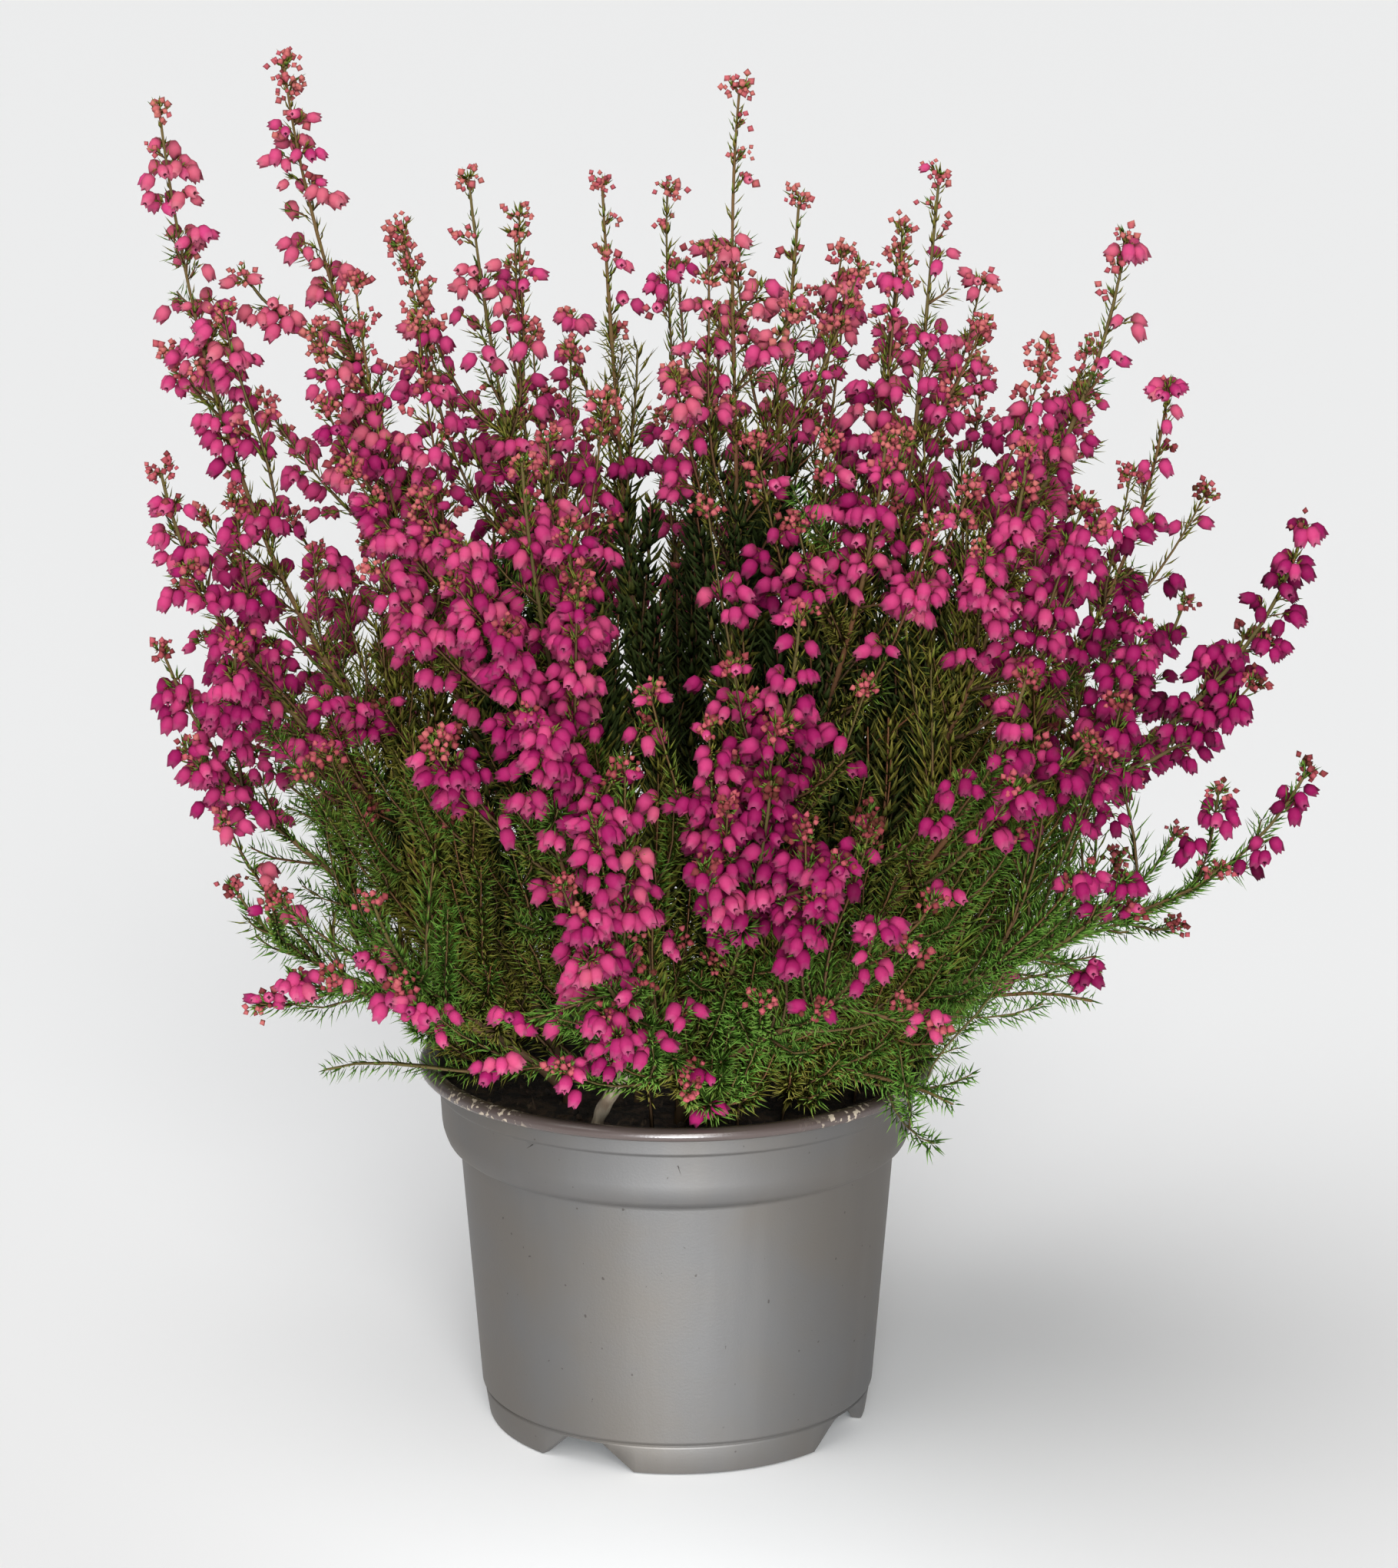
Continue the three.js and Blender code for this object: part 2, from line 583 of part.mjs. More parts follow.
function stemGeometry(stem, room) {
  const growth = new Growth();
  const [first, second] = stem.branches;
  const owner = `${stem.name} stem`;
  const side = new THREE.Vector3(Math.cos(stem.turn), Math.sin(stem.turn), 0);
  const bottom = stem.root.clone().setZ(SOIL_CROWN - HOLE_DEPTH + GAP);
  const base = growth.ring(bottom, UP, side, stem.half);
  growth.quad([...base].reverse());
  const collar = growth.ring(stem.root, UP, side, stem.half);
  growth.tube(base, collar);
  const heading = headingOf(first.curve, FORK_SHARE, second.curve.getPoint(1));
  const sprout = sprouter(growth, room, owner);
  const half = [STEM_HALF.root, (STEM_HALF.root + STEM_HALF.seat) / 2];
  const fork = (foot) => {
    const whorls = WHORLS.fork.map((step) => ({ at: second.seat * step, kind: 'needle' }));
    growShoot(growth, foot, second.curve, FORK_HALF, whorls, sprout);
  };
  const skirt = (foot) => growShoot(growth, foot, stem.skirt, SKIRT_HALF,
    WHORLS.skirt.map((at) => ({ at, kind: 'needle' })), sprout);
  const skirts = stem.skirt ? [{
    at: SKIRT_SHARE,
    kind: 'needle',
    heading: headingOf(first.curve, SKIRT_SHARE, stem.skirt.getPoint(1)),
    fork: skirt,
  }] : [];
  const whorls = [
    ...skirts,
    { at: FORK_SHARE, kind: 'needle', heading, fork },
    ...WHORLS.stem.map((step) => ({ at: first.seat * step, kind: 'needle' })),
  ];
  growShoot(growth, { ring: collar, side }, first.curve, half, whorls, sprout);
  return growth.geometry();
}

function sprayGeometry(branch, room) {
  const growth = new Growth();
  const { curve, seat, name } = branch;
  const owner = `${name} leader`;
  const along = (share) => THREE.MathUtils.lerp(seat, 1, share);
  const start = seat + GAP / curve.getLength();
  const ahead = curve.getTangent(start);
  const side = new THREE.Vector3(1, 0, 0).cross(ahead).normalize();
  const foot = growth.ring(curve.getPoint(start), ahead, side, SPRAY_HALF.seat);
  growth.quad([...foot].reverse());
  const forks = branch.shoots.map((shoot) => ({
    at: shoot.share,
    kind: 'needle',
    heading: shoot.heading,
    fork: (root) => growShoot(growth, root, shoot.curve, [SIDE_HALF.root, SIDE_HALF.tip],
      [{ at: WHORLS.sideBend, kind: 'bend' }, { at: 1, kind: 'bell' }], sprouter(growth, room, shoot.owner)),
  }));
  const bells = WHORLS.spray.map((share) => ({ at: along(share), kind: 'bell' }));
  const whorls = [...forks, ...bells, { at: 1, kind: 'bud' }].sort((a, b) => a.at - b.at);
  growShoot(growth, { ring: foot, side }, curve, [SPRAY_HALF.flare, SPRAY_HALF.tip], whorls,
    sprouter(growth, room, owner));
  return growth.geometry();
}

function woodGeometry(room) {
  const growth = new Growth();
  const side = new THREE.Vector3(1, 0, 0);
  const root = vector([...OLD_WOOD.foot, SOIL_EDGE + 1]);
  const curve = twigCurve(root, UP, vector(OLD_WOOD.tip), shootEnd(root, vector(OLD_WOOD.tip)));
  const bottom = root.clone().setZ(SOIL_CROWN - HOLE_DEPTH + GAP);
  const base = growth.ring(bottom, UP, side, OLD_WOOD.half[0]);
  growth.quad([...base].reverse());
  const collar = growth.ring(root, UP, side, OLD_WOOD.half[0]);
  growth.tube(base, collar);
  const sprout = sprouter(growth, room, 'wood');
  const forks = OLD_WOOD_FORKS.map(({ at, tip }) => {
    const heading = headingOf(curve, at, vector(tip));
    const start = forkStart(curve, at, vector(tip), KEPT_HEADING.fork);
    const forkFoot = curve.getPoint(at);
    const forkCurve = twigCurve(forkFoot, start, vector(tip), shootEnd(forkFoot, vector(tip)));
    const fork = (foot) => growShoot(growth, foot, forkCurve, OLD_WOOD.forkHalf,
      [{ at: WHORLS.woodKnot, kind: 'bare' }, { at: 1, kind: 'bare' }], sprout);
    return { at, kind: 'bare', heading, fork };
  });
  const whorls = [...forks, { at: 1, kind: 'bare' }];
  growShoot(growth, { ring: collar, side }, curve, OLD_WOOD.half, whorls, sprout);
  return growth.geometry();
}

const MATERIALS = {
  pot: new THREE.MeshStandardMaterial({ color: 0x8b8680, roughness: 0.42, metalness: 0.15 }),
  soil: new THREE.MeshStandardMaterial({ color: 0x2a1d14, roughness: 0.95, metalness: 0 }),
  wood: new THREE.MeshStandardMaterial({ color: 0x7c6a55, roughness: 0.85, metalness: 0 }),
  leaf: new THREE.MeshStandardMaterial({ color: 0x3f6a2c, roughness: 0.6, metalness: 0 }),
  bell: new THREE.MeshStandardMaterial({ color: 0xc9407f, roughness: 0.5, metalness: 0 }),
};

function named(name, geometry, material) {
  const mesh = new THREE.Mesh(geometry, material);
  mesh.name = name;
  return mesh;
}

function buildHeath() {
  const group = new THREE.Group();
  const room = new Room();
  const stems = STEMS.map(planStem);
  for (const stem of stems) {
    for (const branch of stem.branches) {
      const { curve, seat } = branch;
      room.add(curveStretches(curve, 0, seat, STEM_HALF.root * Math.SQRT2), `${stem.name} stem`);
      room.add(curveStretches(curve, seat, 1, SPRAY_HALF.seat * Math.SQRT2), `${branch.name} leader`);
    }
    if (stem.skirt) {
      room.add(curveStretches(stem.skirt, 0, 1, SKIRT_HALF[0] * Math.SQRT2), `${stem.name} stem`);
    }
  }
  stems.forEach((stem) => stem.branches.forEach((branch) => planSides(branch, room)));
  const holes = stems.map(({ root, half, turn }) => ({ centre: root, half, turn }));
  holes.push({ centre: vector([...OLD_WOOD.foot, SOIL_CROWN]), half: OLD_WOOD.half[0], turn: 0 });
  group.add(named('pot', potGeometry(), MATERIALS.pot));
  group.add(named('soil', soilGeometry(holes), MATERIALS.soil));
  group.add(named('old_wood', woodGeometry(room), MATERIALS.wood));
  for (const stem of stems) {
    for (const branch of stem.branches) {
      group.add(named(`flower_spray_${branch.name}`, sprayGeometry(branch, room), MATERIALS.bell));
    }
  }
  for (const stem of stems) {
    group.add(named(`leafy_stem_${stem.name}`, stemGeometry(stem, room), MATERIALS.leaf));
  }
  return group;
}

export default buildHeath();
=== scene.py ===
"""Looks of the potted cape heath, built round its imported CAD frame.

Lengths inside the classes are millimetres, as in the CAD source, and meshes are written in metres.
+Z is up and -Y is the front.
"""

from __future__ import annotations

import logging
import math
from dataclasses import dataclass, field
from enum import Enum
from typing import Any, Callable

import bpy
import numpy as np
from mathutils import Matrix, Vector

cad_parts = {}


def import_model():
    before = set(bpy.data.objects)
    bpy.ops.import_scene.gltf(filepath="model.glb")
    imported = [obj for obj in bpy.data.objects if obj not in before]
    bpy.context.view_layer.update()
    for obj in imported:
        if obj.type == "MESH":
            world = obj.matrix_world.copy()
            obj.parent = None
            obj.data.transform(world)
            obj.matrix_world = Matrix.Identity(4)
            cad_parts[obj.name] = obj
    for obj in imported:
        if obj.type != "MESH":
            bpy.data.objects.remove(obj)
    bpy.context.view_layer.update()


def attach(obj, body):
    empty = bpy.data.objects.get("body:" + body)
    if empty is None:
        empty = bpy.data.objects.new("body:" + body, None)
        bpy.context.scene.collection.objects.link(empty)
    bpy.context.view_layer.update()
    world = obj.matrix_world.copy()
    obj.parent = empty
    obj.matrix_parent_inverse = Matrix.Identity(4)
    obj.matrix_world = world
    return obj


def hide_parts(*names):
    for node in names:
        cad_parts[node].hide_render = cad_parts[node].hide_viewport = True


log = logging.getLogger("heath")

METRE = 0.001
UP = np.array([0.0, 0.0, 1.0])
TURN = 2 * math.pi
GOLDEN_ANGLE = 2.39996
BODY = "root"
PALETTE_MAP = "OFBake"

# Heights of the pot's lip, and of the roots and the lower ends of the CAD source's stems
LIP_HEIGHT = 84.0
ROOT_HEIGHT = 82.0
PEAT_DEPTH = 72.8

# Steps of the tint on the palette map, between one row of colours and the next
TINT_STEPS = (0.0, 0.34, 0.67, 1.0)

Array = np.ndarray
Pair = tuple[float, float]
Colour = tuple[float, float, float]
Point = tuple[float, float, float]
Tips = tuple[Point, Point, Point]
Profile = list[Point]
Stops = list[tuple[float, Colour]]


def unit(vectors: Array) -> Array:
    """Vectors divided by their lengths along the last axis."""
    return vectors / np.maximum(np.linalg.norm(vectors, axis=-1, keepdims=True), 1e-9)


def square_to(axes: Array, toward: Array) -> Array:
    """Unit vectors along the part of `toward` that is square to the axes."""
    return unit(toward - np.sum(toward * axes, -1, keepdims=True) * axes)


def ease(low: float, high: float, values: Array | float) -> Array:
    """Smooth step: 0 below low, 1 above high, and t*t*(3 - 2t) between."""
    t = np.clip((np.asarray(values) - low) / (high - low), 0, 1)
    return t * t * (3 - 2 * t)


# Node graphs


def operators(operation: str) -> tuple[Callable, Callable]:
    """The operator of one Math node, and its reflected form for a number on the left."""

    def plain(value: Value, other: Any) -> Value:
        """The operation on the value and another."""
        return value.calc(operation, value, other)

    def reflected(value: Value, other: Any) -> Value:
        """The operation on another and the value."""
        return value.calc(operation, other, value)

    return plain, reflected


class Value:
    """A number socket in a node tree that takes Python arithmetic."""

    __add__, __radd__ = operators("ADD")
    __sub__, __rsub__ = operators("SUBTRACT")
    __mul__, __rmul__ = operators("MULTIPLY")

    def __init__(self, shader: Shader, socket: Any) -> None:
        """Wraps a socket of the shader's tree."""
        self.shader = shader
        self.socket = socket

    def calc(self, operation: str, *values: Any) -> Value:
        """One Math node on the given values."""
        made = self.shader.node("ShaderNodeMath", {"operation": operation}, *values)
        return Value(self.shader, made.outputs[0])

    def step(self, low: float, high: float) -> Value:
        """Smooth step from low to high."""
        settings = {"interpolation_type": "SMOOTHSTEP"}
        made = self.shader.node("ShaderNodeMapRange", settings, self, low, high)
        return Value(self.shader, made.outputs[0])


class Shader:
    """A material's node tree, made node by node."""

    def __init__(self, name: str) -> None:
        """Starts an empty material with one Principled shader.

        Args:
            name: the material's name.
        """
        self.material = bpy.data.materials.new(name)
        self.material.use_nodes = True
        self.tree = self.material.node_tree
        self.tree.nodes.clear()
        self.principled = self.node("ShaderNodeBsdfPrincipled", {})
        output = self.node("ShaderNodeOutputMaterial", {})
        self.tree.links.new(self.principled.outputs[0], output.inputs[0])

    def node(self, kind: str, settings: dict[str, Any], *values: Any, **named: Any) -> Any:
        """Makes any node.

        Args:
            kind: the node's type.
            settings: its properties, set first. "stops" lists a ramp's (place, colour) pairs.
            values: values or links of its input sockets in order; None leaves one as it is.
            named: the same by socket name, with underscores for spaces.

        Returns:
            The node.
        """
        made = self.tree.nodes.new(kind)
        for key, setting in settings.items():
            if key == "stops":
                self._stops(made.color_ramp, setting)
            else:
                setattr(made, key, setting)
        self.feed(made, dict(enumerate(values)) | named)
        return made

    def feed(self, node: Any, inputs: dict[int | str, Any]) -> None:
        """Links or sets a node's input sockets, by number or by name; a colour gets its alpha."""
        for key, value in inputs.items():
            socket = node.inputs[key.replace("_", " ") if isinstance(key, str) else key]
            if isinstance(value, Value):
                self.tree.links.new(value.socket, socket)
            elif isinstance(value, bpy.types.NodeSocket):
                self.tree.links.new(value, socket)
            elif value is not None:
                socket.default_value = (*value, 1.0) if socket.type == "RGBA" else value

    @staticmethod
    def _stops(ramp: Any, stops: Stops) -> None:
        """Writes a ramp's stops."""
        while len(ramp.elements) < len(stops):
            ramp.elements.new(1.0)
        for element, (place, colour) in zip(ramp.elements, stops):
            element.position = place
            element.color = (*colour, 1.0)

    def ramp(self, factor: Value, stops: Stops) -> Any:
        """Colour socket of a ramp over a factor."""
        return self.node("ShaderNodeValToRGB", {"stops": stops}, factor).outputs[0]

    def mix(self, factor: Any, low: Any, high: Any) -> Any:
        """Colour socket that goes from low to high with the factor."""
        made = self.node("ShaderNodeMix", {"data_type": "RGBA"})
        self.feed(made, {0: factor, 6: low, 7: high})
        return made.outputs[2]

    def blend(self, tint: Value, rows: list[Any]) -> Any:
        """Colour socket that passes from each row to the next over the steps of the tint."""
        colour = rows[0]
        for low, high, row in zip(TINT_STEPS, TINT_STEPS[1:], rows[1:]):
            colour = self.mix(tint.step(low, high), colour, row)
        return colour

    def noise(self, scale: float, detail: float, stretch: Point | None = None) -> Value:
        """Noise over object coordinates.

        Args:
            scale: waves per metre.
            detail: octaves.
            stretch: scale of each axis, or None.

        Returns:
            The noise from 0 to 1.
        """
        place = self.node("ShaderNodeTexCoord", {}).outputs["Object"]
        if stretch is not None:
            place = self.node("ShaderNodeMapping", {}, place, None, None, stretch).outputs[0]
        made = self.node("ShaderNodeTexNoise", {}, place, Scale=scale, Detail=detail)
        return Value(self, made.outputs[0])

    def place(self, axis: str) -> Value:
        """One object coordinate in metres, such as "Z" for the height above the table."""
        place = self.node("ShaderNodeTexCoord", {}).outputs["Object"]
        return Value(self, self.node("ShaderNodeSeparateXYZ", {}, place).outputs[axis])

    def palette(self) -> tuple[Value, Value]:
        """The tint and the place along an organ, from the palette map."""
        map_node = self.node("ShaderNodeUVMap", {"uv_map": PALETTE_MAP})
        split = self.node("ShaderNodeSeparateXYZ", {}, map_node.outputs[0])
        return Value(self, split.outputs[0]), Value(self, split.outputs[1])

    def bump(self, height: Value, strength: float, distance: float) -> None:
        """Feeds a height to the normal."""
        made = self.node("ShaderNodeBump", {}, Strength=strength, Distance=distance, Height=height)
        self.feed(self.principled, {"Normal": made.outputs[0]})

    def set(self, **sockets: Any) -> bpy.types.Material:
        """Sets the Principled shader's sockets by name and returns the material."""
        self.feed(self.principled, sockets)
        return self.material


# Finishes


@dataclass(frozen=True)
class PotPlastic:
    """Satin taupe plastic with a pearl sheen, and a dark glossy lip with dried peat on its two sides.

    `lip_edge` is the height in metres over which the lip starts, and `dirty_from` the square of X in
    square metres over which the dried peat does.
    """

    body: Colour = (0.146, 0.132, 0.118)
    cool: Colour = (0.140, 0.135, 0.132)
    streak: Colour = (0.19, 0.18, 0.17)
    lip: Colour = (0.072, 0.052, 0.047)
    dirt: Colour = (0.40, 0.33, 0.25)
    speck: Colour = (0.055, 0.045, 0.040)
    lip_edge: Pair = (0.0838, 0.0846)
    dirty_from: Pair = (0.0007, 0.0012)

    def material(self) -> bpy.types.Material:
        """Builds the material.

        Returns:
            The pot's material.
        """
        shader = Shader("pot_plastic")
        on_lip = shader.place("Z").step(*self.lip_edge)
        cloud = shader.noise(26.0, 4.0)
        streak = shader.noise(120.0, 3.0, (1.0, 1.0, 0.08))
        aside = shader.place("X") * shader.place("X")
        flecks = shader.noise(760.0, 3.0).step(0.55, 0.61) * shader.noise(60.0, 2.0).step(0.44, 0.52)
        flecks = flecks * aside.step(*self.dirty_from)
        specks = shader.noise(700.0, 1.0).step(0.77, 0.80)
        colour = shader.mix(cloud.step(0.35, 0.68), self.body, self.cool)
        colour = shader.mix(streak.step(0.45, 0.9) * 0.25, colour, self.streak)
        colour = shader.mix(on_lip, colour, self.lip)
        colour = shader.mix(flecks * on_lip, colour, self.dirt)
        colour = shader.mix(specks * 0.7, colour, self.speck)
        shader.bump(shader.noise(1900.0, 2.0) * 0.6 + cloud * 0.4, 0.12, 0.0004)
        roughness = 0.58 - on_lip * 0.34 + cloud * 0.06 + flecks * on_lip * 0.4
        metallic = 0.80 - on_lip * 0.65
        return shader.set(Base_Color=colour, Roughness=roughness, Metallic=metallic, Specular_IOR_Level=0.8)


@dataclass(frozen=True)
class PeatSoil:
    """Black-brown fibrous peat."""

    dark: Colour = (0.010, 0.007, 0.005)
    brown: Colour = (0.055, 0.034, 0.020)
    fibre: Colour = (0.16, 0.11, 0.065)

    def material(self) -> bpy.types.Material:
        """Builds the material.

        Returns:
            The peat's material.
        """
        shader = Shader("peat_soil")
        crumb = shader.noise(420.0, 5.0)
        strand = shader.noise(700.0, 2.0, (1.0, 0.25, 0.6))
        colour = shader.mix(crumb.step(0.38, 0.70), self.dark, self.brown)
        colour = shader.mix(strand.step(0.66, 0.78) * 0.6, colour, self.fibre)
        shader.bump(crumb, 0.8, 0.0012)
        return shader.set(Base_Color=colour, Roughness=0.95)


@dataclass(frozen=True)
class Bark:
    """Grey-brown bark, cracked along the branch."""

    pale: Colour = (0.28, 0.23, 0.165)
    brown: Colour = (0.12, 0.085, 0.055)
    lichen: Colour = (0.21, 0.20, 0.15)

    def material(self) -> bpy.types.Material:
        """Builds the material.

        Returns:
            The bark's material.
        """
        shader = Shader("old_bark")
        crack = shader.noise(520.0, 4.0, (1.0, 1.0, 0.3))
        patch = shader.noise(110.0, 3.0)
        colour = shader.mix(crack.step(0.36, 0.66), self.brown, self.pale)
        colour = shader.mix(patch.step(0.52, 0.75) * 0.5, colour, self.lichen)
        shader.bump(crack, 0.8, 0.0007)
        return shader.set(Base_Color=colour, Roughness=0.85)


class Band(Enum):
    """Where each kind of organ lies on the palette map, as its lowest and highest place."""

    TWIG = (0.02, 0.28)
    NEEDLE = (0.36, 0.98)
    STALK = (0.02, 0.10)
    BUD = (0.14, 0.36)
    BELL = (0.42, 0.98)

    def along(self, share: Array | float) -> Array | float:
        """Map height of a share from 0 to 1 along an organ."""
        low, high = self.value
        return low + share * (high - low)

    def stops(self, stops: Stops) -> Stops:
        """Ramp stops along the organ, moved to its band."""
        return [(self.along(share), colour) for share, colour in stops]


@dataclass(frozen=True)
class Petals:
    """Bells, buds and their stalks. The tint runs from painted shade over deep magenta and rose to warm pink.

    Each row has the colours of a petal, a bud and a stalk.
    """

    # painted shade: the darkest row, which bells, buds and stalks deep inside the bush drift towards
    shaded: tuple[Colour, ...] = ((0.075, 0.002, 0.022), (0.07, 0.02, 0.012), (0.05, 0.014, 0.008))
    deep: tuple[Colour, ...] = ((0.28, 0.010, 0.090), (0.22, 0.040, 0.045), (0.13, 0.035, 0.020))
    rose: tuple[Colour, ...] = ((0.47, 0.044, 0.152), (0.42, 0.085, 0.105), (0.20, 0.060, 0.030))
    warm: tuple[Colour, ...] = ((0.49, 0.100, 0.145), (0.45, 0.130, 0.115), (0.19, 0.10, 0.035))
    sepal: Colour = (0.07, 0.075, 0.02)

    def _stops(self, petal: Colour, bud: Colour, stalk: Colour) -> Stops:
        """Stops of one row's ramp over stalk, bud and bell; the dark stops inside the bell's mouth are
        painted shade.
        """
        light = tuple(1.08 * c + 0.12 * petal[0] for c in petal)
        shade = tuple(0.62 * c for c in petal)
        # painted shade: the inside of the bell's mouth, darkest at its recessed middle
        dark = tuple(0.14 * c for c in petal)
        calyx = tuple(0.5 * c for c in bud)
        return (
            Band.STALK.stops([(0.0, stalk), (1.0, stalk)])
            + Band.BUD.stops([(0.0, self.sepal), (0.30, bud), (1.0, bud)])
            + Band.BELL.stops([(0.0, calyx), (0.12, shade), (0.32, petal), (0.62, petal), (0.80, light),
                               (0.87, light), (0.92, dark), (1.0, dark)])
        )

    def material(self) -> bpy.types.Material:
        """Builds the material.

        Returns:
            The flowers' material.
        """
        shader = Shader("heath_petals")
        tint, place = shader.palette()
        palette = (self.shaded, self.deep, self.rose, self.warm)
        rows = [shader.ramp(place, self._stops(*row)) for row in palette]
        return shader.set(Base_Color=shader.blend(tint, rows), Roughness=0.55, Specular_IOR_Level=0.06)


@dataclass(frozen=True)
class Needles:
    """Needles and twigs. The tint runs from painted shade over olive and deep green to fresh green.

    Each row has a twig's lower and upper colour, then a needle's at its root, middle and point.
    """

    # painted shade: the darkest row, for twigs and needles deep inside the bush
    shaded: tuple[Colour, ...] = ((0.030, 0.022, 0.012), (0.036, 0.025, 0.014),
                                  (0.009, 0.015, 0.004), (0.016, 0.028, 0.007), (0.034, 0.050, 0.014))
    olive: tuple[Colour, ...] = ((0.120, 0.076, 0.040), (0.180, 0.070, 0.034),
                                 (0.070, 0.064, 0.010), (0.150, 0.138, 0.020), (0.270, 0.225, 0.055))
    deep: tuple[Colour, ...] = ((0.115, 0.095, 0.042), (0.120, 0.095, 0.034),
                                (0.032, 0.072, 0.008), (0.074, 0.162, 0.020), (0.165, 0.262, 0.050))
    fresh: tuple[Colour, ...] = ((0.140, 0.120, 0.046), (0.106, 0.130, 0.034),
                                 (0.044, 0.112, 0.013), (0.098, 0.232, 0.030), (0.228, 0.380, 0.080))

    def material(self) -> bpy.types.Material:
        """Builds the material.

        Returns:
            The greenery's material.
        """
        shader = Shader("heath_needles")
        tint, place = shader.palette()
        rows = [
            shader.ramp(place, Band.TWIG.stops([(0.0, row[0]), (1.0, row[1])])
                        + Band.NEEDLE.stops([(0.0, row[2]), (0.5, row[3]), (1.0, row[4])]))
            for row in (self.shaded, self.olive, self.deep, self.fresh)
        ]
        return shader.set(Base_Color=shader.blend(tint, rows), Roughness=0.6, Specular_IOR_Level=0.05)


def link(name: str, data: Any) -> bpy.types.Object:
    """A new object of the scene with the given mesh, lamp or camera."""
    made = bpy.data.objects.new(name, data)
    bpy.context.scene.collection.objects.link(made)
    return made


# Surfaces


def skin(rings: int, sides: int) -> Array:
    """Outward triangles of a closed tube: its first point, ring after ring of points, its last point.

    Args:
        rings: how many rings there are.
        sides: points on each ring.

    Returns:
        Three point numbers for each triangle.
    """
    near, far = np.arange(sides), (np.arange(sides) + 1) % sides
    low = 1 + sides * np.arange(rings - 1)[:, None]
    high, last = low + sides, 1 + sides * (rings - 1)
    parts = [
        np.stack([0 * near, 1 + far, 1 + near], -1),
        np.stack([low + near, low + far, high + far], -1),
        np.stack([low + near, high + far, high + near], -1),
        np.stack([last + near, last + far, 0 * near + last + sides], -1),
    ]
    return np.vstack([part.reshape(-1, 3) for part in parts])


def turn(radius: Array, height: Array, ends: Pair, angles: Array) -> tuple[Array, Array]:
    """A profile turned about Z: (r cos a, r sin a, h), closed at both ends on the axis.

    Args:
        radius: radius of each ring, or of each of its points.
        height: height of each ring, or of each of its points.
        ends: heights of the two ends.
        angles: where the points of a ring stand, going round once.

    Returns:
        Its points and its triangles.
    """
    across, over = radius * np.cos(angles), radius * np.sin(angles)
    grid = np.stack([across, over, height + 0 * across], -1).reshape(-1, 3)
    points = np.vstack([[0, 0, ends[0]], grid, [0, 0, ends[1]]])
    return points, skin(len(radius), len(angles))


def palette_place(tint: Array) -> Array:
    """Where tints from 0 to 1 lie across the palette map, inside its edges."""
    return np.clip(tint, 0, 1) * 0.94 + 0.03


# How far the tint drifts round an organ on the palette map
DRIFT = 0.022


@dataclass(frozen=True)
class Organ:
    """A small closed shape along its own +Z: one unit long, and its radius is in units of width."""

    points: Array
    faces: Array
    coords: Array

    @classmethod
    def turned(cls, profile: Profile, sides: int, lobe: float = 0.0) -> Organ:
        """A turned profile. On its last ring every second corner is a lobe, out and forward.

        Args:
            profile: radius, height and palette place of each ring; the two ends have no radius.
            sides: corners of each ring.
            lobe: how far the lobes of the last ring stand out.

        Returns:
            The shape.
        """
        rings = np.array(profile[1:-1])
        turns = np.arange(sides) / sides
        wave = np.zeros((len(rings), sides))
        wave[-1] = lobe * np.where(np.arange(sides) % 2, -1.0, 1.0)
        radius, height = rings[:, :1] * (1 + wave), rings[:, 1:2] + 0.25 * wave
        points, faces = turn(radius, height, (profile[0][1], profile[-1][1]), TURN * turns)
        places = np.stack([np.tile(turns, len(rings)) - 0.5, np.repeat(rings[:, 2], sides)], -1)
        coords = np.vstack([[0, profile[0][2]], places, [0.2, profile[-1][2]]])
        return cls(points, faces, coords)


BELL = Organ.turned([(0, 0, 0.0), (0.80, 0.15, 0.20), (1.0, 0.50, 0.50), (0.52, 0.93, 0.84),
                     (0, 0.72, 1.0)], 8, lobe=0.26)
BUD = Organ.turned([(0, 0, 0.0), (1.0, 0.45, 0.45), (0, 1.0, 1.0)], 4)

# A slim four-faced blade: a ridge from root to point over a keel edge that gives it its width
BLADE = Organ(
    np.array([[0.35, 0, 0], [-0.55, 1.0, 0.42], [-0.55, -1.0, 0.42], [0.35, 0, 1.0]]),
    np.array([[0, 1, 2], [0, 3, 1], [0, 2, 3], [1, 3, 2]]),
    np.array([[0, 0.0], [0.5, 0.42], [-0.5, 0.46], [0.2, 1.0]]),
)
CRUMB = Organ.turned([(0, 0, 0.0), (0.9, 0.25, 0.3), (0.7, 0.7, 0.7), (0, 1.0, 1.0)], 5)


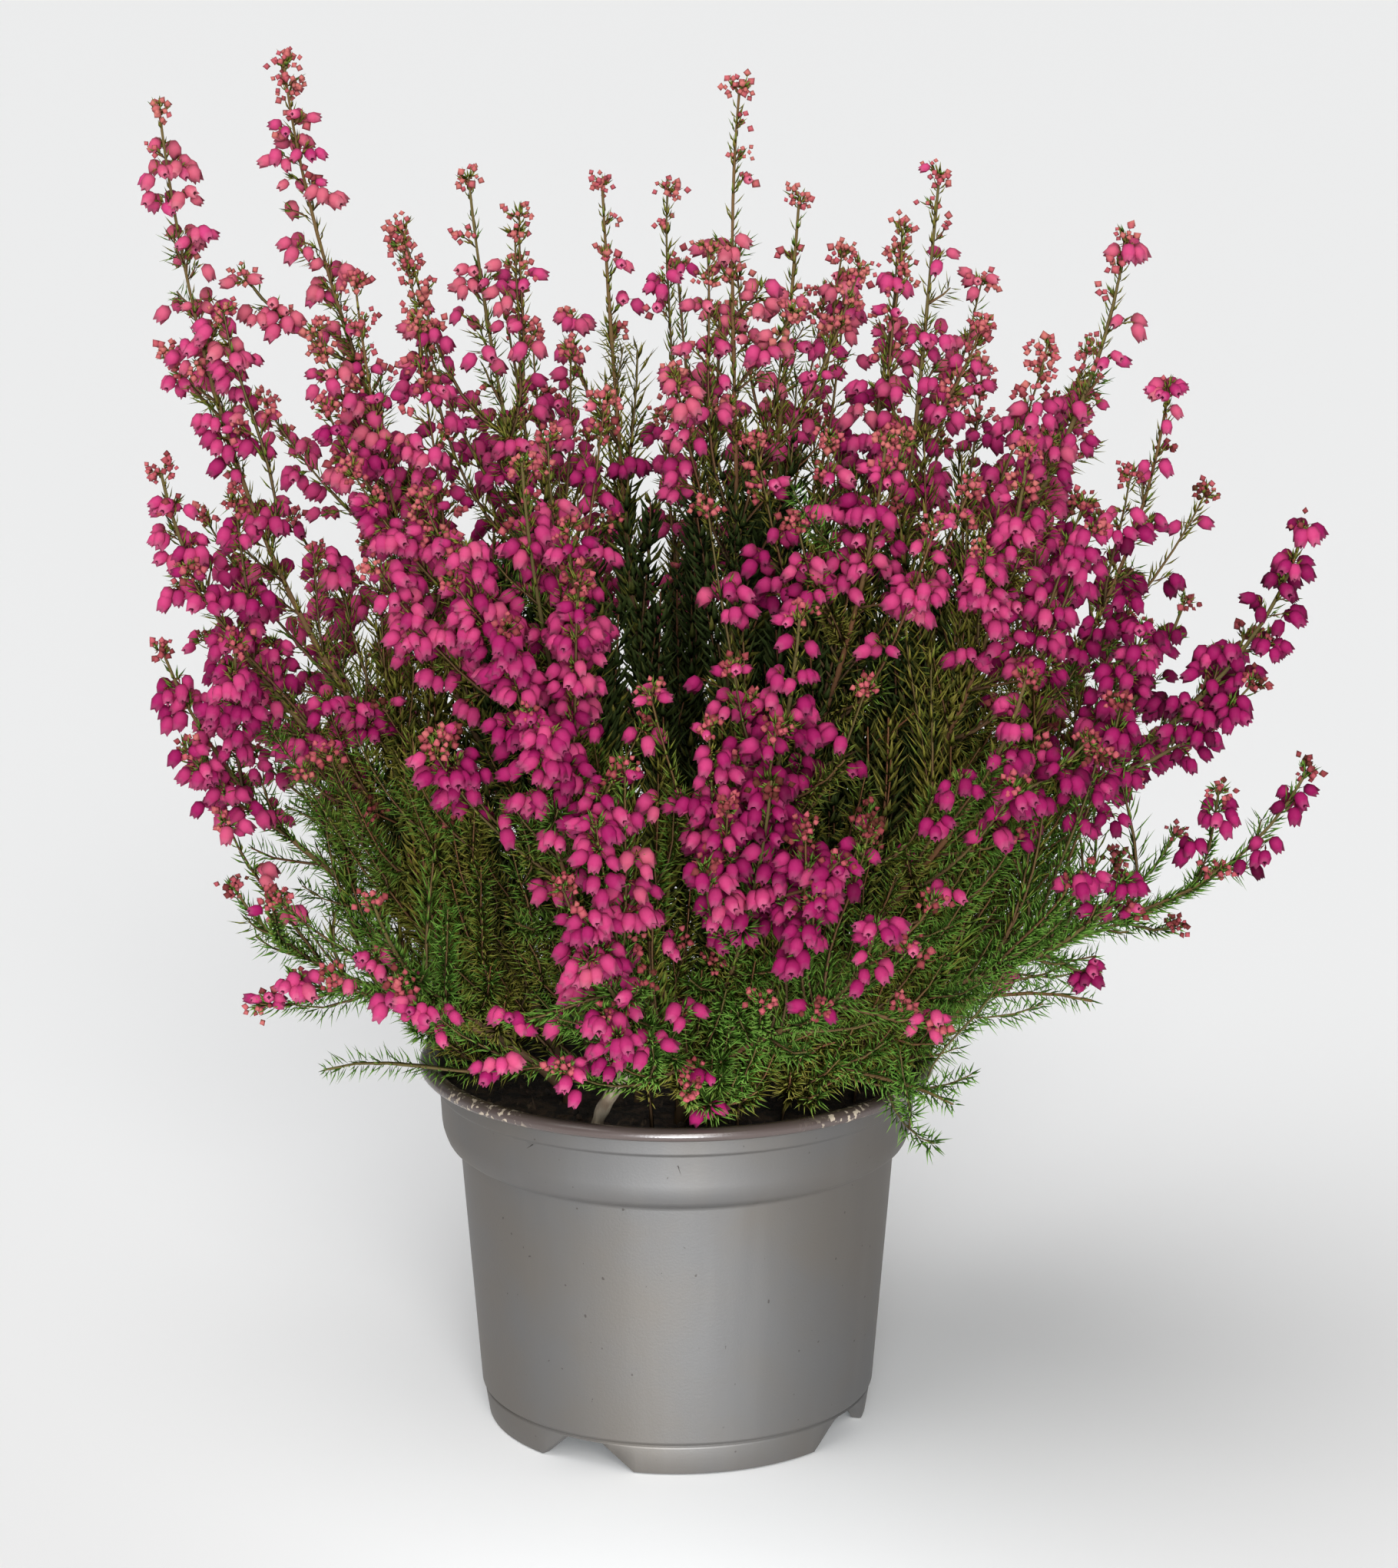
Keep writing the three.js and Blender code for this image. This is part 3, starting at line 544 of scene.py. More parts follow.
@dataclass
class Surface:
    """Triangles gathered for one mesh, with their palette coordinates."""

    points: list[Array] = field(default_factory=list)
    faces: list[Array] = field(default_factory=list)
    coords: list[Array] = field(default_factory=list)
    count: int = 0

    def add(self, points: Array, faces: Array, coords: Array) -> None:
        """Adds vertices, triangles on them and a palette coordinate for each vertex."""
        self.points.append(points)
        self.faces.append(faces + self.count)
        self.coords.append(coords)
        self.count += len(points)

    def scatter(self, organ: Organ, band: Band, roots: Array, axes: Array, toward: Array,
                length: Array | float, width: Array | float, tint: Array | float) -> None:
        """Places copies of an organ: point = root + width (x s + y o) + length z a.

        Here a is the axis, s the part of `toward` square to it, and o their cross product.

        Args:
            organ: the shape.
            band: its band on the palette map.
            roots: where each copy starts.
            axes: which way each copy points.
            toward: which way each copy's X turns.
            length: length of the copies.
            width: radius of the copies.
            tint: palette tint of the copies, 0 to 1.
        """
        if len(roots) == 0:
            return
        length, width, tint = (np.broadcast_to(value, len(roots)) for value in (length, width, tint))
        axes = unit(axes)
        side = square_to(axes, toward)
        over = np.cross(axes, side)
        x, y, z = organ.points.T[:, None, :, None]
        points = (roots[:, None] + width[:, None, None] * (x * side[:, None] + y * over[:, None])
                  + length[:, None, None] * z * axes[:, None])
        corners = len(organ.points)
        faces = organ.faces[None] + corners * np.arange(len(roots))[:, None, None]
        across = palette_place(tint)[:, None] + DRIFT * organ.coords[:, 0]
        along = np.broadcast_to(band.along(organ.coords[:, 1]), across.shape)
        self.add(points.reshape(-1, 3), faces.reshape(-1, 3), np.stack([across, along], -1).reshape(-1, 2))

    def tube(self, centres: Array, radii: Array, tint: Array, sides: int) -> None:
        """A closed round twig: ring point = centre + radius (s cos a + o sin a), with pointed ends.

        Args:
            centres: points along the twig.
            radii: radius at each of them.
            tint: palette tint at each of them.
            sides: corners of each ring.
        """
        ahead = unit(np.gradient(centres, axis=0))
        chord = unit(centres[-1] - centres[0])
        reference = unit(np.cross(chord, [0.31, 0.87, 0.38]))
        side = square_to(ahead, reference)
        over = np.cross(ahead, side)
        angle = TURN * np.arange(sides) / sides
        spread = side[:, None] * np.cos(angle)[:, None] + over[:, None] * np.sin(angle)[:, None]
        grid = centres[:, None] + radii[:, None, None] * spread
        steps = len(centres)
        start = centres[0] - ahead[0] * radii[0] * 0.5
        stop = centres[-1] + ahead[-1] * radii[-1]
        points = np.vstack([start[None], grid.reshape(-1, 3), stop[None]])
        around = np.tile(DRIFT * (np.arange(sides) / sides - 0.5), steps)
        across = np.repeat(palette_place(tint), sides) + around
        along = np.repeat(Band.TWIG.along(np.linspace(0.05, 0.95, steps)), sides)
        ends = Band.TWIG.along(np.array([0.0, 1.0]))
        coords = np.vstack([[across[0], ends[0]], np.stack([across, along], -1), [across[-1], ends[1]]])
        self.add(points, skin(steps, sides), coords)

    def triangles(self) -> int:
        """How many triangles there are."""
        return sum(len(faces) for faces in self.faces)

    def build(self, name: str, material: bpy.types.Material, mapped: bool = False) -> bpy.types.Object:
        """Writes the mesh and its object in metres, at the origin.

        Args:
            name: the piece's name.
            material: its material.
            mapped: whether the material reads the palette map.

        Returns:
            The object.
        """
        points = np.vstack(self.points) * METRE
        faces = np.vstack(self.faces).astype(np.int32)
        coords = np.vstack(self.coords)
        mesh = bpy.data.meshes.new(name)
        mesh.vertices.add(len(points))
        mesh.vertices.foreach_set("co", points.astype(np.float32).ravel())
        mesh.loops.add(faces.size)
        mesh.loops.foreach_set("vertex_index", faces.ravel())
        mesh.polygons.add(len(faces))
        mesh.polygons.foreach_set("loop_start", np.arange(0, faces.size, 3, dtype=np.int32))
        mesh.polygons.foreach_set("use_smooth", np.full(len(faces), True))
        if mapped:
            layer = mesh.uv_layers.new(name=PALETTE_MAP)
            layer.data.foreach_set("uv", coords[faces.ravel()].astype(np.float32).ravel())
        mesh.materials.append(material)
        mesh.update(calc_edges=True)
        return link(name, mesh)


def seat(piece: bpy.types.Object, nodes: list[str]) -> None:
    """Rides a piece on the body, hides the CAD nodes it stands for, and logs its triangles."""
    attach(piece, BODY)
    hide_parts(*nodes)
    piece.data.calc_loop_triangles()
    log.info("%s: %d triangles for %s", piece.name, len(piece.data.loop_triangles), ", ".join(nodes))


# Routes, by the CAD source's own formulas


@dataclass(frozen=True)
class Route:
    """A cubic Bezier path."""

    knots: Array

    @classmethod
    def twig(cls, foot: Array, start: Array, tip: Array, end: Array) -> Route:
        """A path that leaves its foot along start and reaches its tip along end."""
        reach = 0.34 * np.linalg.norm(tip - foot)
        return cls(np.array([foot, foot + start * reach, tip - end * reach, tip]))

    def at(self, share: Array | float) -> Array:
        """Points at shares of the path."""
        t = np.asarray(share, float)[..., None]
        a, b, c, d = self.knots
        return (1 - t) ** 3 * a + 3 * (1 - t) ** 2 * t * b + 3 * (1 - t) * t * t * c + t**3 * d

    def ahead(self, share: Array | float) -> Array:
        """Unit tangents at shares of the path."""
        t = np.asarray(share, float)[..., None]
        a, b, c = np.diff(self.knots, axis=0)
        return unit((1 - t) ** 2 * a + 2 * (1 - t) * t * b + t * t * c)

    def points(self, low: float, high: float, count: int) -> Array:
        """Points at even shares from low to high."""
        return self.at(np.linspace(low, high, count))

    def length(self) -> float:
        """Length of the path."""
        return float(np.linalg.norm(np.diff(self.points(0, 1, 33), axis=0), axis=1).sum())

    def heading(self, share: float, point: Array) -> Array:
        """Which way a fork leaves the path at a share to reach a point, square to the path."""
        way, ahead = point - self.at(share), self.ahead(share)
        return unit(way - ahead * (way @ ahead))

    def fork(self, share: float, tip: Array, along: float, end: Array) -> Route:
        """A path that forks off at a share, keeps `along` of the heading and ends at a tip."""
        start = unit(self.heading(share, tip) + along * self.ahead(share))
        return Route.twig(self.at(share), start, tip, end)

    def shoot(self, share: float, tip: Array, along: float) -> Route:
        """A short shoot that forks off at a share and ends along its own line, turned up a little."""
        return self.fork(share, tip, along, shoot_end(self.at(share), tip))


def outward_of(tip: Array) -> Array:
    """Level unit vector from the pot's axis towards a point."""
    return unit(tip * [1, 1, 0])


def steepness(tip: Array) -> float:
    """How steeply a branch climbs: (height - 110) / 150, held between 0.35 and 0.9."""
    return min(0.9, max(0.35, (tip[2] - 110) / 150))


def branch_end(tip: Array) -> Array:
    """How a long branch ends: the more upright, the more steeply it climbs."""
    upright = 0.55 + 0.4 * steepness(tip)
    return unit(outward_of(tip) * (1 - upright) + UP * upright)


def shoot_end(foot: Array, tip: Array) -> Array:
    """How a short shoot ends: along its own line, turned up a little."""
    return unit(unit(tip - foot) + 0.5 * UP)


class Habit(Enum):
    """What a shoot bears."""

    SPIRE = "spire"
    TUFT = "tuft"
    LEAFY = "leafy"
    INNER = "inner"


@dataclass(frozen=True)
class Foliage:
    """Needles of one habit: how many to the millimetre, their size, steepness and shift of tint."""

    density: float
    length: float
    half: float
    rise: Pair
    shift: float


FOLIAGE = {
    Habit.SPIRE: Foliage(3.0, 4.2, 0.30, (0.9, 2.2), 0.0),
    Habit.TUFT: Foliage(3.0, 4.4, 0.24, (0.4, 1.3), 0.03),
    Habit.LEAFY: Foliage(3.6, 4.9, 0.23, (0.2, 1.0), 0.06),
    # painted shade: the inner blades are wide and shifted towards the shaded row, dark sheets that fill the
    # inside of the bush
    Habit.INNER: Foliage(1.5, 7.0, 0.74, (0.7, 1.9), -0.14),
}


@dataclass
class Shoot:
    """One twig with what grows on it.

    It flowers from its tip down by `bloom` millimetres, of which `green_tip` are still in bud. Its
    needles start at the share `leafy` of its route, and `fresh` lightens them.
    """

    route: Route
    habit: Habit
    radius: Pair = (0.5, 0.3)
    bloom: float = 0.0
    green_tip: float = 8.0
    leafy: float = 0.0
    fresh: float = 0.0


# Axis of the cone that the low part of the bush makes, and its depth against its width
SKIRT_AXIS = (4, 2)
SKIRT_FLAT = 0.93


def skirt_flare(height: Array | float) -> Array | float:
    """How much wider the cone is at a height than at its foot."""
    return 0.46 * (height - 94)


@dataclass(frozen=True)
class Zones:
    """Where the bush flowers, and how its colours drift over it, for points in millimetres.

    `floor` is the height over which the front flowers, at each X of `floor_at`. Each of `patches` is the
    X and height of a place with few flowers, its half width and half height, and how much it lacks.
    """

    floor_at: tuple[float, ...] = (-112, -88, -62, -34, 0, 32, 56, 80, 120)
    floor: tuple[float, ...] = (136, 150, 176, 146, 116, 136, 160, 158, 150)
    back_floor: float = 140.0
    middle: Point = (8, 2, 160)
    half_axes: Point = (130, 112, 128)
    patches: tuple[tuple[float, float, float, float, float], ...] = (
        (-6, 250, 52, 26, 0.72), (-98, 212, 22, 34, 0.60), (56, 160, 26, 28, 0.50), (110, 222, 24, 40, 0.72),
        (-14, 158, 26, 16, 0.60), (28, 118, 32, 22, 0.90), (68, 184, 24, 16, 0.45), (-56, 150, 26, 22, 0.90),
        (26, 203, 26, 30, 0.55), (-96, 114, 26, 18, 0.80), (104, 116, 26, 20, 0.90), (102, 262, 18, 16, 0.80),
    )

    def depth(self, points: Array) -> Array:
        """0 in the middle of the bush, 1 on its outside: the distance in an ellipsoid's half axes."""
        return np.linalg.norm((points - np.array(self.middle)) / self.half_axes, axis=-1)

    def outer(self, points: Array) -> Array:
        """How well lit a point is: 0 deep inside the bush and dim behind its skirt, 1 in its outer part."""
        x, y, z = np.moveaxis(points, -1, 0)
        skirt = np.hypot(x - SKIRT_AXIS[0], (y - SKIRT_AXIS[1]) / SKIRT_FLAT) / (66 + skirt_flare(z))
        behind = 0.9 * ease(178, 140, z) * ease(1.02, 0.78, skirt)
        return ease(0.38, 0.66, self.depth(points)) * (1 - behind)

    def bloom(self, points: Array) -> Array:
        """Chance that an umbel grows: little low down and inside, none in the dark gap in front."""
        x, y, z = np.moveaxis(points, -1, 0)
        front = ease(-12, -38, y)
        floor = front * np.interp(x, self.floor_at, self.floor) + (1 - front) * self.back_floor
        chance = 0.05 + 0.83 * ease(floor - 14, floor + 20, z)
        high = 0.30 * ease(225, 262, z) + 0.35 * ease(268, 285, z)
        chance = chance * (1 - high * ease(-90, -60, x))
        for across, up, wide, tall, less in self.patches:
            chance = chance * (1 - less * np.exp(-(((x - across) / wide) ** 2) - ((z - up) / tall) ** 2))
        gap = 1 - ease(0.6, 1.3, np.hypot((x + 3) / 14, (z - 190) / 26))
        return chance * (1 - front * gap) * ease(0.46, 0.66, self.depth(points))

    def petal(self, points: Array) -> Array:
        """Petal tint: warm at the top, deep on the right, low on the left and in a clump in front, with
        painted shade: darker deep inside the bush and behind its skirt.
        """
        x, y, z = np.moveaxis(points, -1, 0)
        tint = 0.59 + 0.31 * ease(205, 280, z) - 0.22 * ease(50, 100, x) * ease(250, 190, z)
        clump = np.exp(-((x - 22) ** 2 + (z - 168) ** 2) / 700) * (y < -60)
        left = np.exp(-(((x + 52) / 34) ** 2) - ((z - 190) / 32) ** 2)
        drift = 0.07 * np.sin(0.06 * x + 1.3) * np.cos(0.05 * z + 0.02 * y)
        # painted shade: the less lit a point is, the nearer its tint comes to the shaded row
        return (tint - 0.30 * clump - 0.09 * left + drift) * (0.35 + 0.65 * self.outer(points))

    def leaf(self, points: Array) -> Array:
        """Leaf tint: fresh green low down, deep green above it, olive high up, with painted shade: darker
        deep inside the bush and behind its skirt.
        """
        x, _, z = np.moveaxis(points, -1, 0)
        tint = 0.40 + 0.36 * ease(205, 120, z) + 0.12 * ease(20, 80, x) * ease(170, 120, z)
        # painted shade: the less lit a point is, the nearer its tint comes to the shaded row
        return tint * (0.22 + 0.78 * self.outer(points))

    def open_front(self, points: Array) -> bool:
        """Whether any point lies in the opening over the rim in front, where peat and old wood show."""
        x, y, z = np.atleast_2d(points).T
        return bool(np.any((-53 < x) & (x < -1) & (y < -14) & (z < 101) & (z > 84)))


def around(ahead: Array, azimuth: Array) -> Array:
    """Unit vectors square to the headings, turned by the azimuths about them."""
    side = unit(np.cross(ahead, [0.35, 0.90, 0.26]))
    over = np.cross(ahead, side)
    return side * np.cos(azimuth)[..., None] + over * np.sin(azimuth)[..., None]


@dataclass
class Gardener:
    """Dresses shoots with twigs, needles, buds and bells, from one seeded source of chance.

    Each whorl of needles is turned by `needle_turn` against the last, and each node of arms by
    `node_turn`. An umbel has places for `umbel` flowers over plus and minus `umbel_fan`, of which
    `umbel_share` are taken, and a flower younger than `bud_age` is a bud.
    """

    seed: int = 41
    zones: Zones = field(default_factory=Zones)
    bell_length: float = 4.5
    bell_half: float = 1.58
    needle_turn: float = 1.05
    node_gap: float = 7.2
    node_turn: float = 1.9
    umbel: int = 5
    umbel_share: float = 0.72
    umbel_fan: float = 1.9
    bud_age: float = 0.34
    stalk_half: float = 0.24
    arm_half: float = 0.42
    arm_leaves: int = 5
    leaf_length: Pair = (2.2, 3.4)
    leaf_half: float = 0.30

    def __post_init__(self) -> None:
        """Starts the source of chance."""
        self.chance = np.random.default_rng(self.seed)

    def twig(self, shoot: Shoot, greens: Surface, below: Array | None = None) -> None:
        """Adds the shoot's own twig.

        Args:
            shoot: the shoot.
            greens: the surface that takes it.
            below: a point under the foot that the twig also runs through, or None.
        """
        steps = max(4, int(shoot.route.length() / 8) + 2)
        centres = shoot.route.points(0, 1, steps)
        radii = np.linspace(*shoot.radius, steps) * (1 + 0.12 * self.chance.standard_normal(steps))
        tint = 0.38 + 0.25 * np.linspace(0, 1, steps) + 0.06 * self.chance.standard_normal()
        # painted shade: twigs inside the bush and behind its skirt are tinted darker
        tint = tint * (0.25 + 0.75 * self.zones.outer(centres)) + shoot.fresh
        if below is not None:
            centres = np.vstack([below, centres])
            radii = np.append(radii[0] * 1.15, radii)
            tint = np.append(0.1, tint)
        greens.tube(centres, radii, tint, 6 if shoot.radius[0] > 0.8 else 3)

    def needles(self, shoot: Shoot, greens: Surface) -> None:
        """Adds whorls of three needles along the leafy part of a shoot, of its habit's foliage."""
        route, kind, chance = shoot.route, FOLIAGE[shoot.habit], self.chance
        whorls = int(route.length() * (1 - shoot.leafy) * kind.density / 3)
        share = np.repeat(np.linspace(shoot.leafy, 1, whorls), 3)
        share = np.clip(share + chance.normal(0, 0.3 / route.length(), share.size), 0, 1)
        azimuth = np.repeat(np.arange(whorls) * self.needle_turn, 3)
        azimuth = azimuth + np.tile(np.arange(3) * TURN / 3, whorls)
        if shoot.habit is Habit.SPIRE:
            down = (1 - share) * route.length()
            place = route.at(share)
            crowded = self.zones.bloom(place) * ease(shoot.bloom + 15, 0.6 * shoot.bloom, down)
            full = 0.55 + 0.45 * ease(160, 125, place[:, 2])
            kept = chance.random(share.size) < full * (1 - 0.75 * crowded)
            share, azimuth = share[kept], azimuth[kept]
        ahead = route.ahead(share)
        radial = around(ahead, azimuth + chance.normal(0, 0.25, share.size))
        rise = chance.uniform(*kind.rise, share.size)[:, None]
        roots = route.at(share) + radial * (0.6 * shoot.radius[1])
        size = kind.length * chance.uniform(0.7, 1.15, share.size) * (1 - 0.35 * ease(0.9, 1.0, share))
        tint = self.zones.leaf(roots) + chance.normal(0, 0.09) + chance.normal(0, 0.07, share.size)
        width = kind.half * chance.uniform(0.85, 1.15, share.size)
        # painted shade: inner blades grow wider the deeper they stand, dark sheets for the shade inside the
        # bush
        if shoot.habit is Habit.INNER:
            width = width * (1 - 0.6 * self.zones.outer(roots))
        greens.scatter(BLADE, Band.NEEDLE, roots, radial + rise * ahead, ahead, size, width,
                       tint + kind.shift + shoot.fresh)

    def flowers(self, shoot: Shoot, petals: Surface, greens: Surface, arms: int) -> None:
        """Adds nodes of leafy arms, each with an umbel of nodding bells, or of buds near the tip.

        Args:
            shoot: the shoot.
            petals: the surface that takes bells, buds and stalks.
            greens: the surface that takes the small leaves on the arms.
            arms: arms at each node.
        """
        chance, route = self.chance, shoot.route
        length = route.length()
        zone = min(shoot.bloom, 0.94 * length)
        nodes = max(1, round(zone / self.node_gap))
        step = zone / nodes
        down = (np.arange(nodes) + 0.12 + chance.uniform(-0.12, 0.2, nodes)) * step
        down = np.repeat(down, arms) + chance.uniform(-1.6, 1.6, nodes * arms)
        down = np.clip(down, 0.3, length)
        azimuth = np.repeat(np.arange(nodes) * self.node_turn + chance.uniform(0, TURN), arms)
        azimuth = azimuth + np.tile(np.arange(arms) * TURN / arms, nodes) + chance.normal(0, 0.3, down.size)
        share = 1 - down / length
        ahead, foot = route.ahead(share), route.at(share)
        radial = around(ahead, azimuth)
        arm = unit(0.85 * radial + 0.9 * ahead + chance.normal(0, 0.12, foot.shape))
        reach = (1.6 + 4.4 * ease(0, 36, down)) * chance.uniform(0.6, 1.3, down.size)
        crown = foot + arm * reach[:, None]
        here = (chance.random(down.size) < self.zones.bloom(crown)) | (down < 3.5)
        foot, arm, radial, reach, crown, down = (
            rows[here] for rows in (foot, arm, radial, reach, crown, down)
        )
        ripe = ease(0.3 * shoot.green_tip, shoot.green_tip, down)
        young = chance.random(down.size) < 0.42 * ease(200, 245, crown[:, 2])
        ripe = np.where(young, ripe * chance.uniform(0.0, 0.6, down.size), ripe)
        mood = self.zones.petal(crown) + chance.normal(0, 0.06) + chance.normal(0, 0.11, down.size)
        self._arms(foot, arm, reach, greens)
        self._umbels(crown, radial, ripe, mood, petals)

    def _arms(self, foot: Array, arm: Array, reach: Array, greens: Surface) -> None:
        """Adds thin arms, each with a few small needles held close to it."""
        chance, leaves = self.chance, self.arm_leaves
        tint = self.zones.leaf(foot)
        greens.scatter(BLADE, Band.TWIG, foot, arm, arm[:, [1, 2, 0]], reach * 1.1, self.arm_half, tint)
        up_arm = np.repeat(reach, leaves) * chance.uniform(0.15, 0.95, len(foot) * leaves)
        arm = np.repeat(arm, leaves, 0)
        fan = around(arm, chance.uniform(0, TURN, len(arm)))
        roots = np.repeat(foot, leaves, 0) + arm * up_arm[:, None]
        length = chance.uniform(*self.leaf_length, len(arm))
        tint = np.repeat(tint, leaves) + chance.normal(0.08, 0.09, len(arm))
        greens.scatter(BLADE, Band.NEEDLE, roots, arm + 0.5 * fan, arm, length, self.leaf_half, tint)

    def _umbels(self, crown: Array, radial: Array, ripe: Array, mood: Array, petals: Surface) -> None:
        """Bells or buds about the end of each arm, fanned outwards and hanging.

        Args:
            crown: ends of the arms.
            radial: which way each arm points from its twig.
            ripe: 0 for a bud, 1 for a full bell.
            mood: tint of each umbel.
            petals: the surface that takes them.
        """
        chance, most = self.chance, self.umbel
        spot = np.repeat(np.arange(len(crown)), most)
        fan = np.tile(np.linspace(-self.umbel_fan, self.umbel_fan, most), len(crown))
        kept = chance.random(len(spot)) < self.umbel_share
        spot, fan = spot[kept], fan[kept] + chance.normal(0, 0.2, kept.sum())
        age = np.clip(ripe[spot] + chance.normal(0, 0.13, len(spot)), 0, 1)
        level = unit(radial[spot] * [1, 1, 0.2])
        aside = np.cross(UP, level)
        outward = level * np.cos(fan)[:, None] + aside * np.sin(fan)[:, None]
        hang = chance.uniform(0.45, 2.3, len(spot)) * age - 0.7 * (1 - age)
        way = unit(outward - UP * hang[:, None])
        stalk = unit(0.8 * outward + UP * chance.uniform(-0.7, 1.1, len(spot))[:, None])
        reach = 0.7 + 1.5 * age
        root = crown[spot] + stalk * reach[:, None]
        tint = mood[spot] + chance.normal(0, 0.08, len(spot))
        petals.scatter(BLADE, Band.STALK, crown[spot], stalk, way, reach * 1.15, self.stalk_half, tint)
        bell = age > self.bud_age
        size = (0.60 + 0.40 * age) * chance.uniform(0.82, 1.14, len(spot))
        petals.scatter(BELL, Band.BELL, root[bell], way[bell], stalk[bell],
                       self.bell_length * size[bell], self.bell_half * size[bell], tint[bell])
        self._buds(crown[spot[~bell]], root[~bell], age[~bell], tint[~bell], petals)

    def _buds(self, crown: Array, root: Array, age: Array, tint: Array, petals: Surface) -> None:
        """Two small round buds in place of each bell, about its root."""
        chance = self.chance
        for _ in range(2):
            place = root + chance.normal(0, 0.75, root.shape)
            way = place - crown + chance.normal(0, 0.3, root.shape)
            size = chance.uniform(0.85, 1.3, len(root)) * (1.1 + 1.6 * age)
            petals.scatter(BUD, Band.BUD, place, way, root[:, [1, 2, 0]], 1.35 * size, 0.62 * size,
                           tint + chance.uniform(-0.25, 0.25, len(root)))

    def dress(self, shoot: Shoot, petals: Surface, greens: Surface) -> None:
        """Dresses one shoot with needles, and with flowers if its habit bears them."""
        self.needles(shoot, greens)
        if shoot.habit in (Habit.SPIRE, Habit.TUFT):
            self.flowers(shoot, petals, greens, 3 if shoot.radius[0] > 0.45 else 2)


# Shares of a leader's route at which the second leader, the skirt and the side shoots leave it
FORK_SHARE = 0.2
SKIRT_SHARE = 0.12
SEATS = (0.5, 0.42)
SIDE_SHARES = (0.16, 0.42)

# How much of its parent's heading a fork keeps, and a skirt does
KEPT_HEADING = 0.9
SKIRT_HEADING = 0.5

@dataclass
class Stem:
    """One stem of the CAD source: two leaders, their side shoots and perhaps a skirt."""

    number: int
    foot: Pair
    first: Tips
    second: Tips
    skirt: Point | None = None
    leaders: list[Route] = field(init=False)
    shoots: list[Shoot] = field(init=False)

    def __post_init__(self) -> None:
        """Works out the routes as the CAD source does."""
        root = np.array([*self.foot, ROOT_HEIGHT])
        tips, more = np.array(self.first, float), np.array(self.second, float)
        start = unit(outward_of(tips[0]) * (1 - steepness(tips[0])) + 0.9 * UP)
        leader = Route.twig(root, start, tips[0], branch_end(tips[0]))
        other = leader.fork(FORK_SHARE, more[0], KEPT_HEADING, branch_end(more[0]))
        self.leaders = [leader, other]
        self.shoots = [
            Shoot(leader, Habit.SPIRE, (1.15, 0.34), 0.5 * leader.length(), leafy=0.15),
            Shoot(other, Habit.SPIRE, (0.85, 0.32), 0.55 * other.length(), leafy=0.1),
        ]
        for route, seat_share, group in zip(self.leaders, SEATS, (tips, more)):
            for tip, share in zip(group[1:], SIDE_SHARES):
                side = route.shoot(seat_share + (1 - seat_share) * share, tip, KEPT_HEADING)
                self.shoots.append(Shoot(side, Habit.SPIRE, (0.5, 0.28), 0.7 * side.length()))
        if self.skirt is not None:
            tip = np.array(self.skirt, float)
            end = unit(outward_of(tip) - 0.15 * UP)
            route = leader.fork(SKIRT_SHARE, tip, SKIRT_HEADING, end)
            self.shoots.append(Shoot(route, Habit.LEAFY, (0.7, 0.35)))

    def below(self) -> Array:
        """The stem's lower end in its hole in the peat."""
        return np.array([*self.foot, PEAT_DEPTH])

    def nodes(self) -> dict[str, list[str]]:
        """The CAD nodes of the stem's greenery and of its flowers."""
        spray = f"flower_spray_{self.number:02d}"
        return {"greens": [f"leafy_stem_{self.number:02d}"], "flowers": [f"{spray}a", f"{spray}b"]}


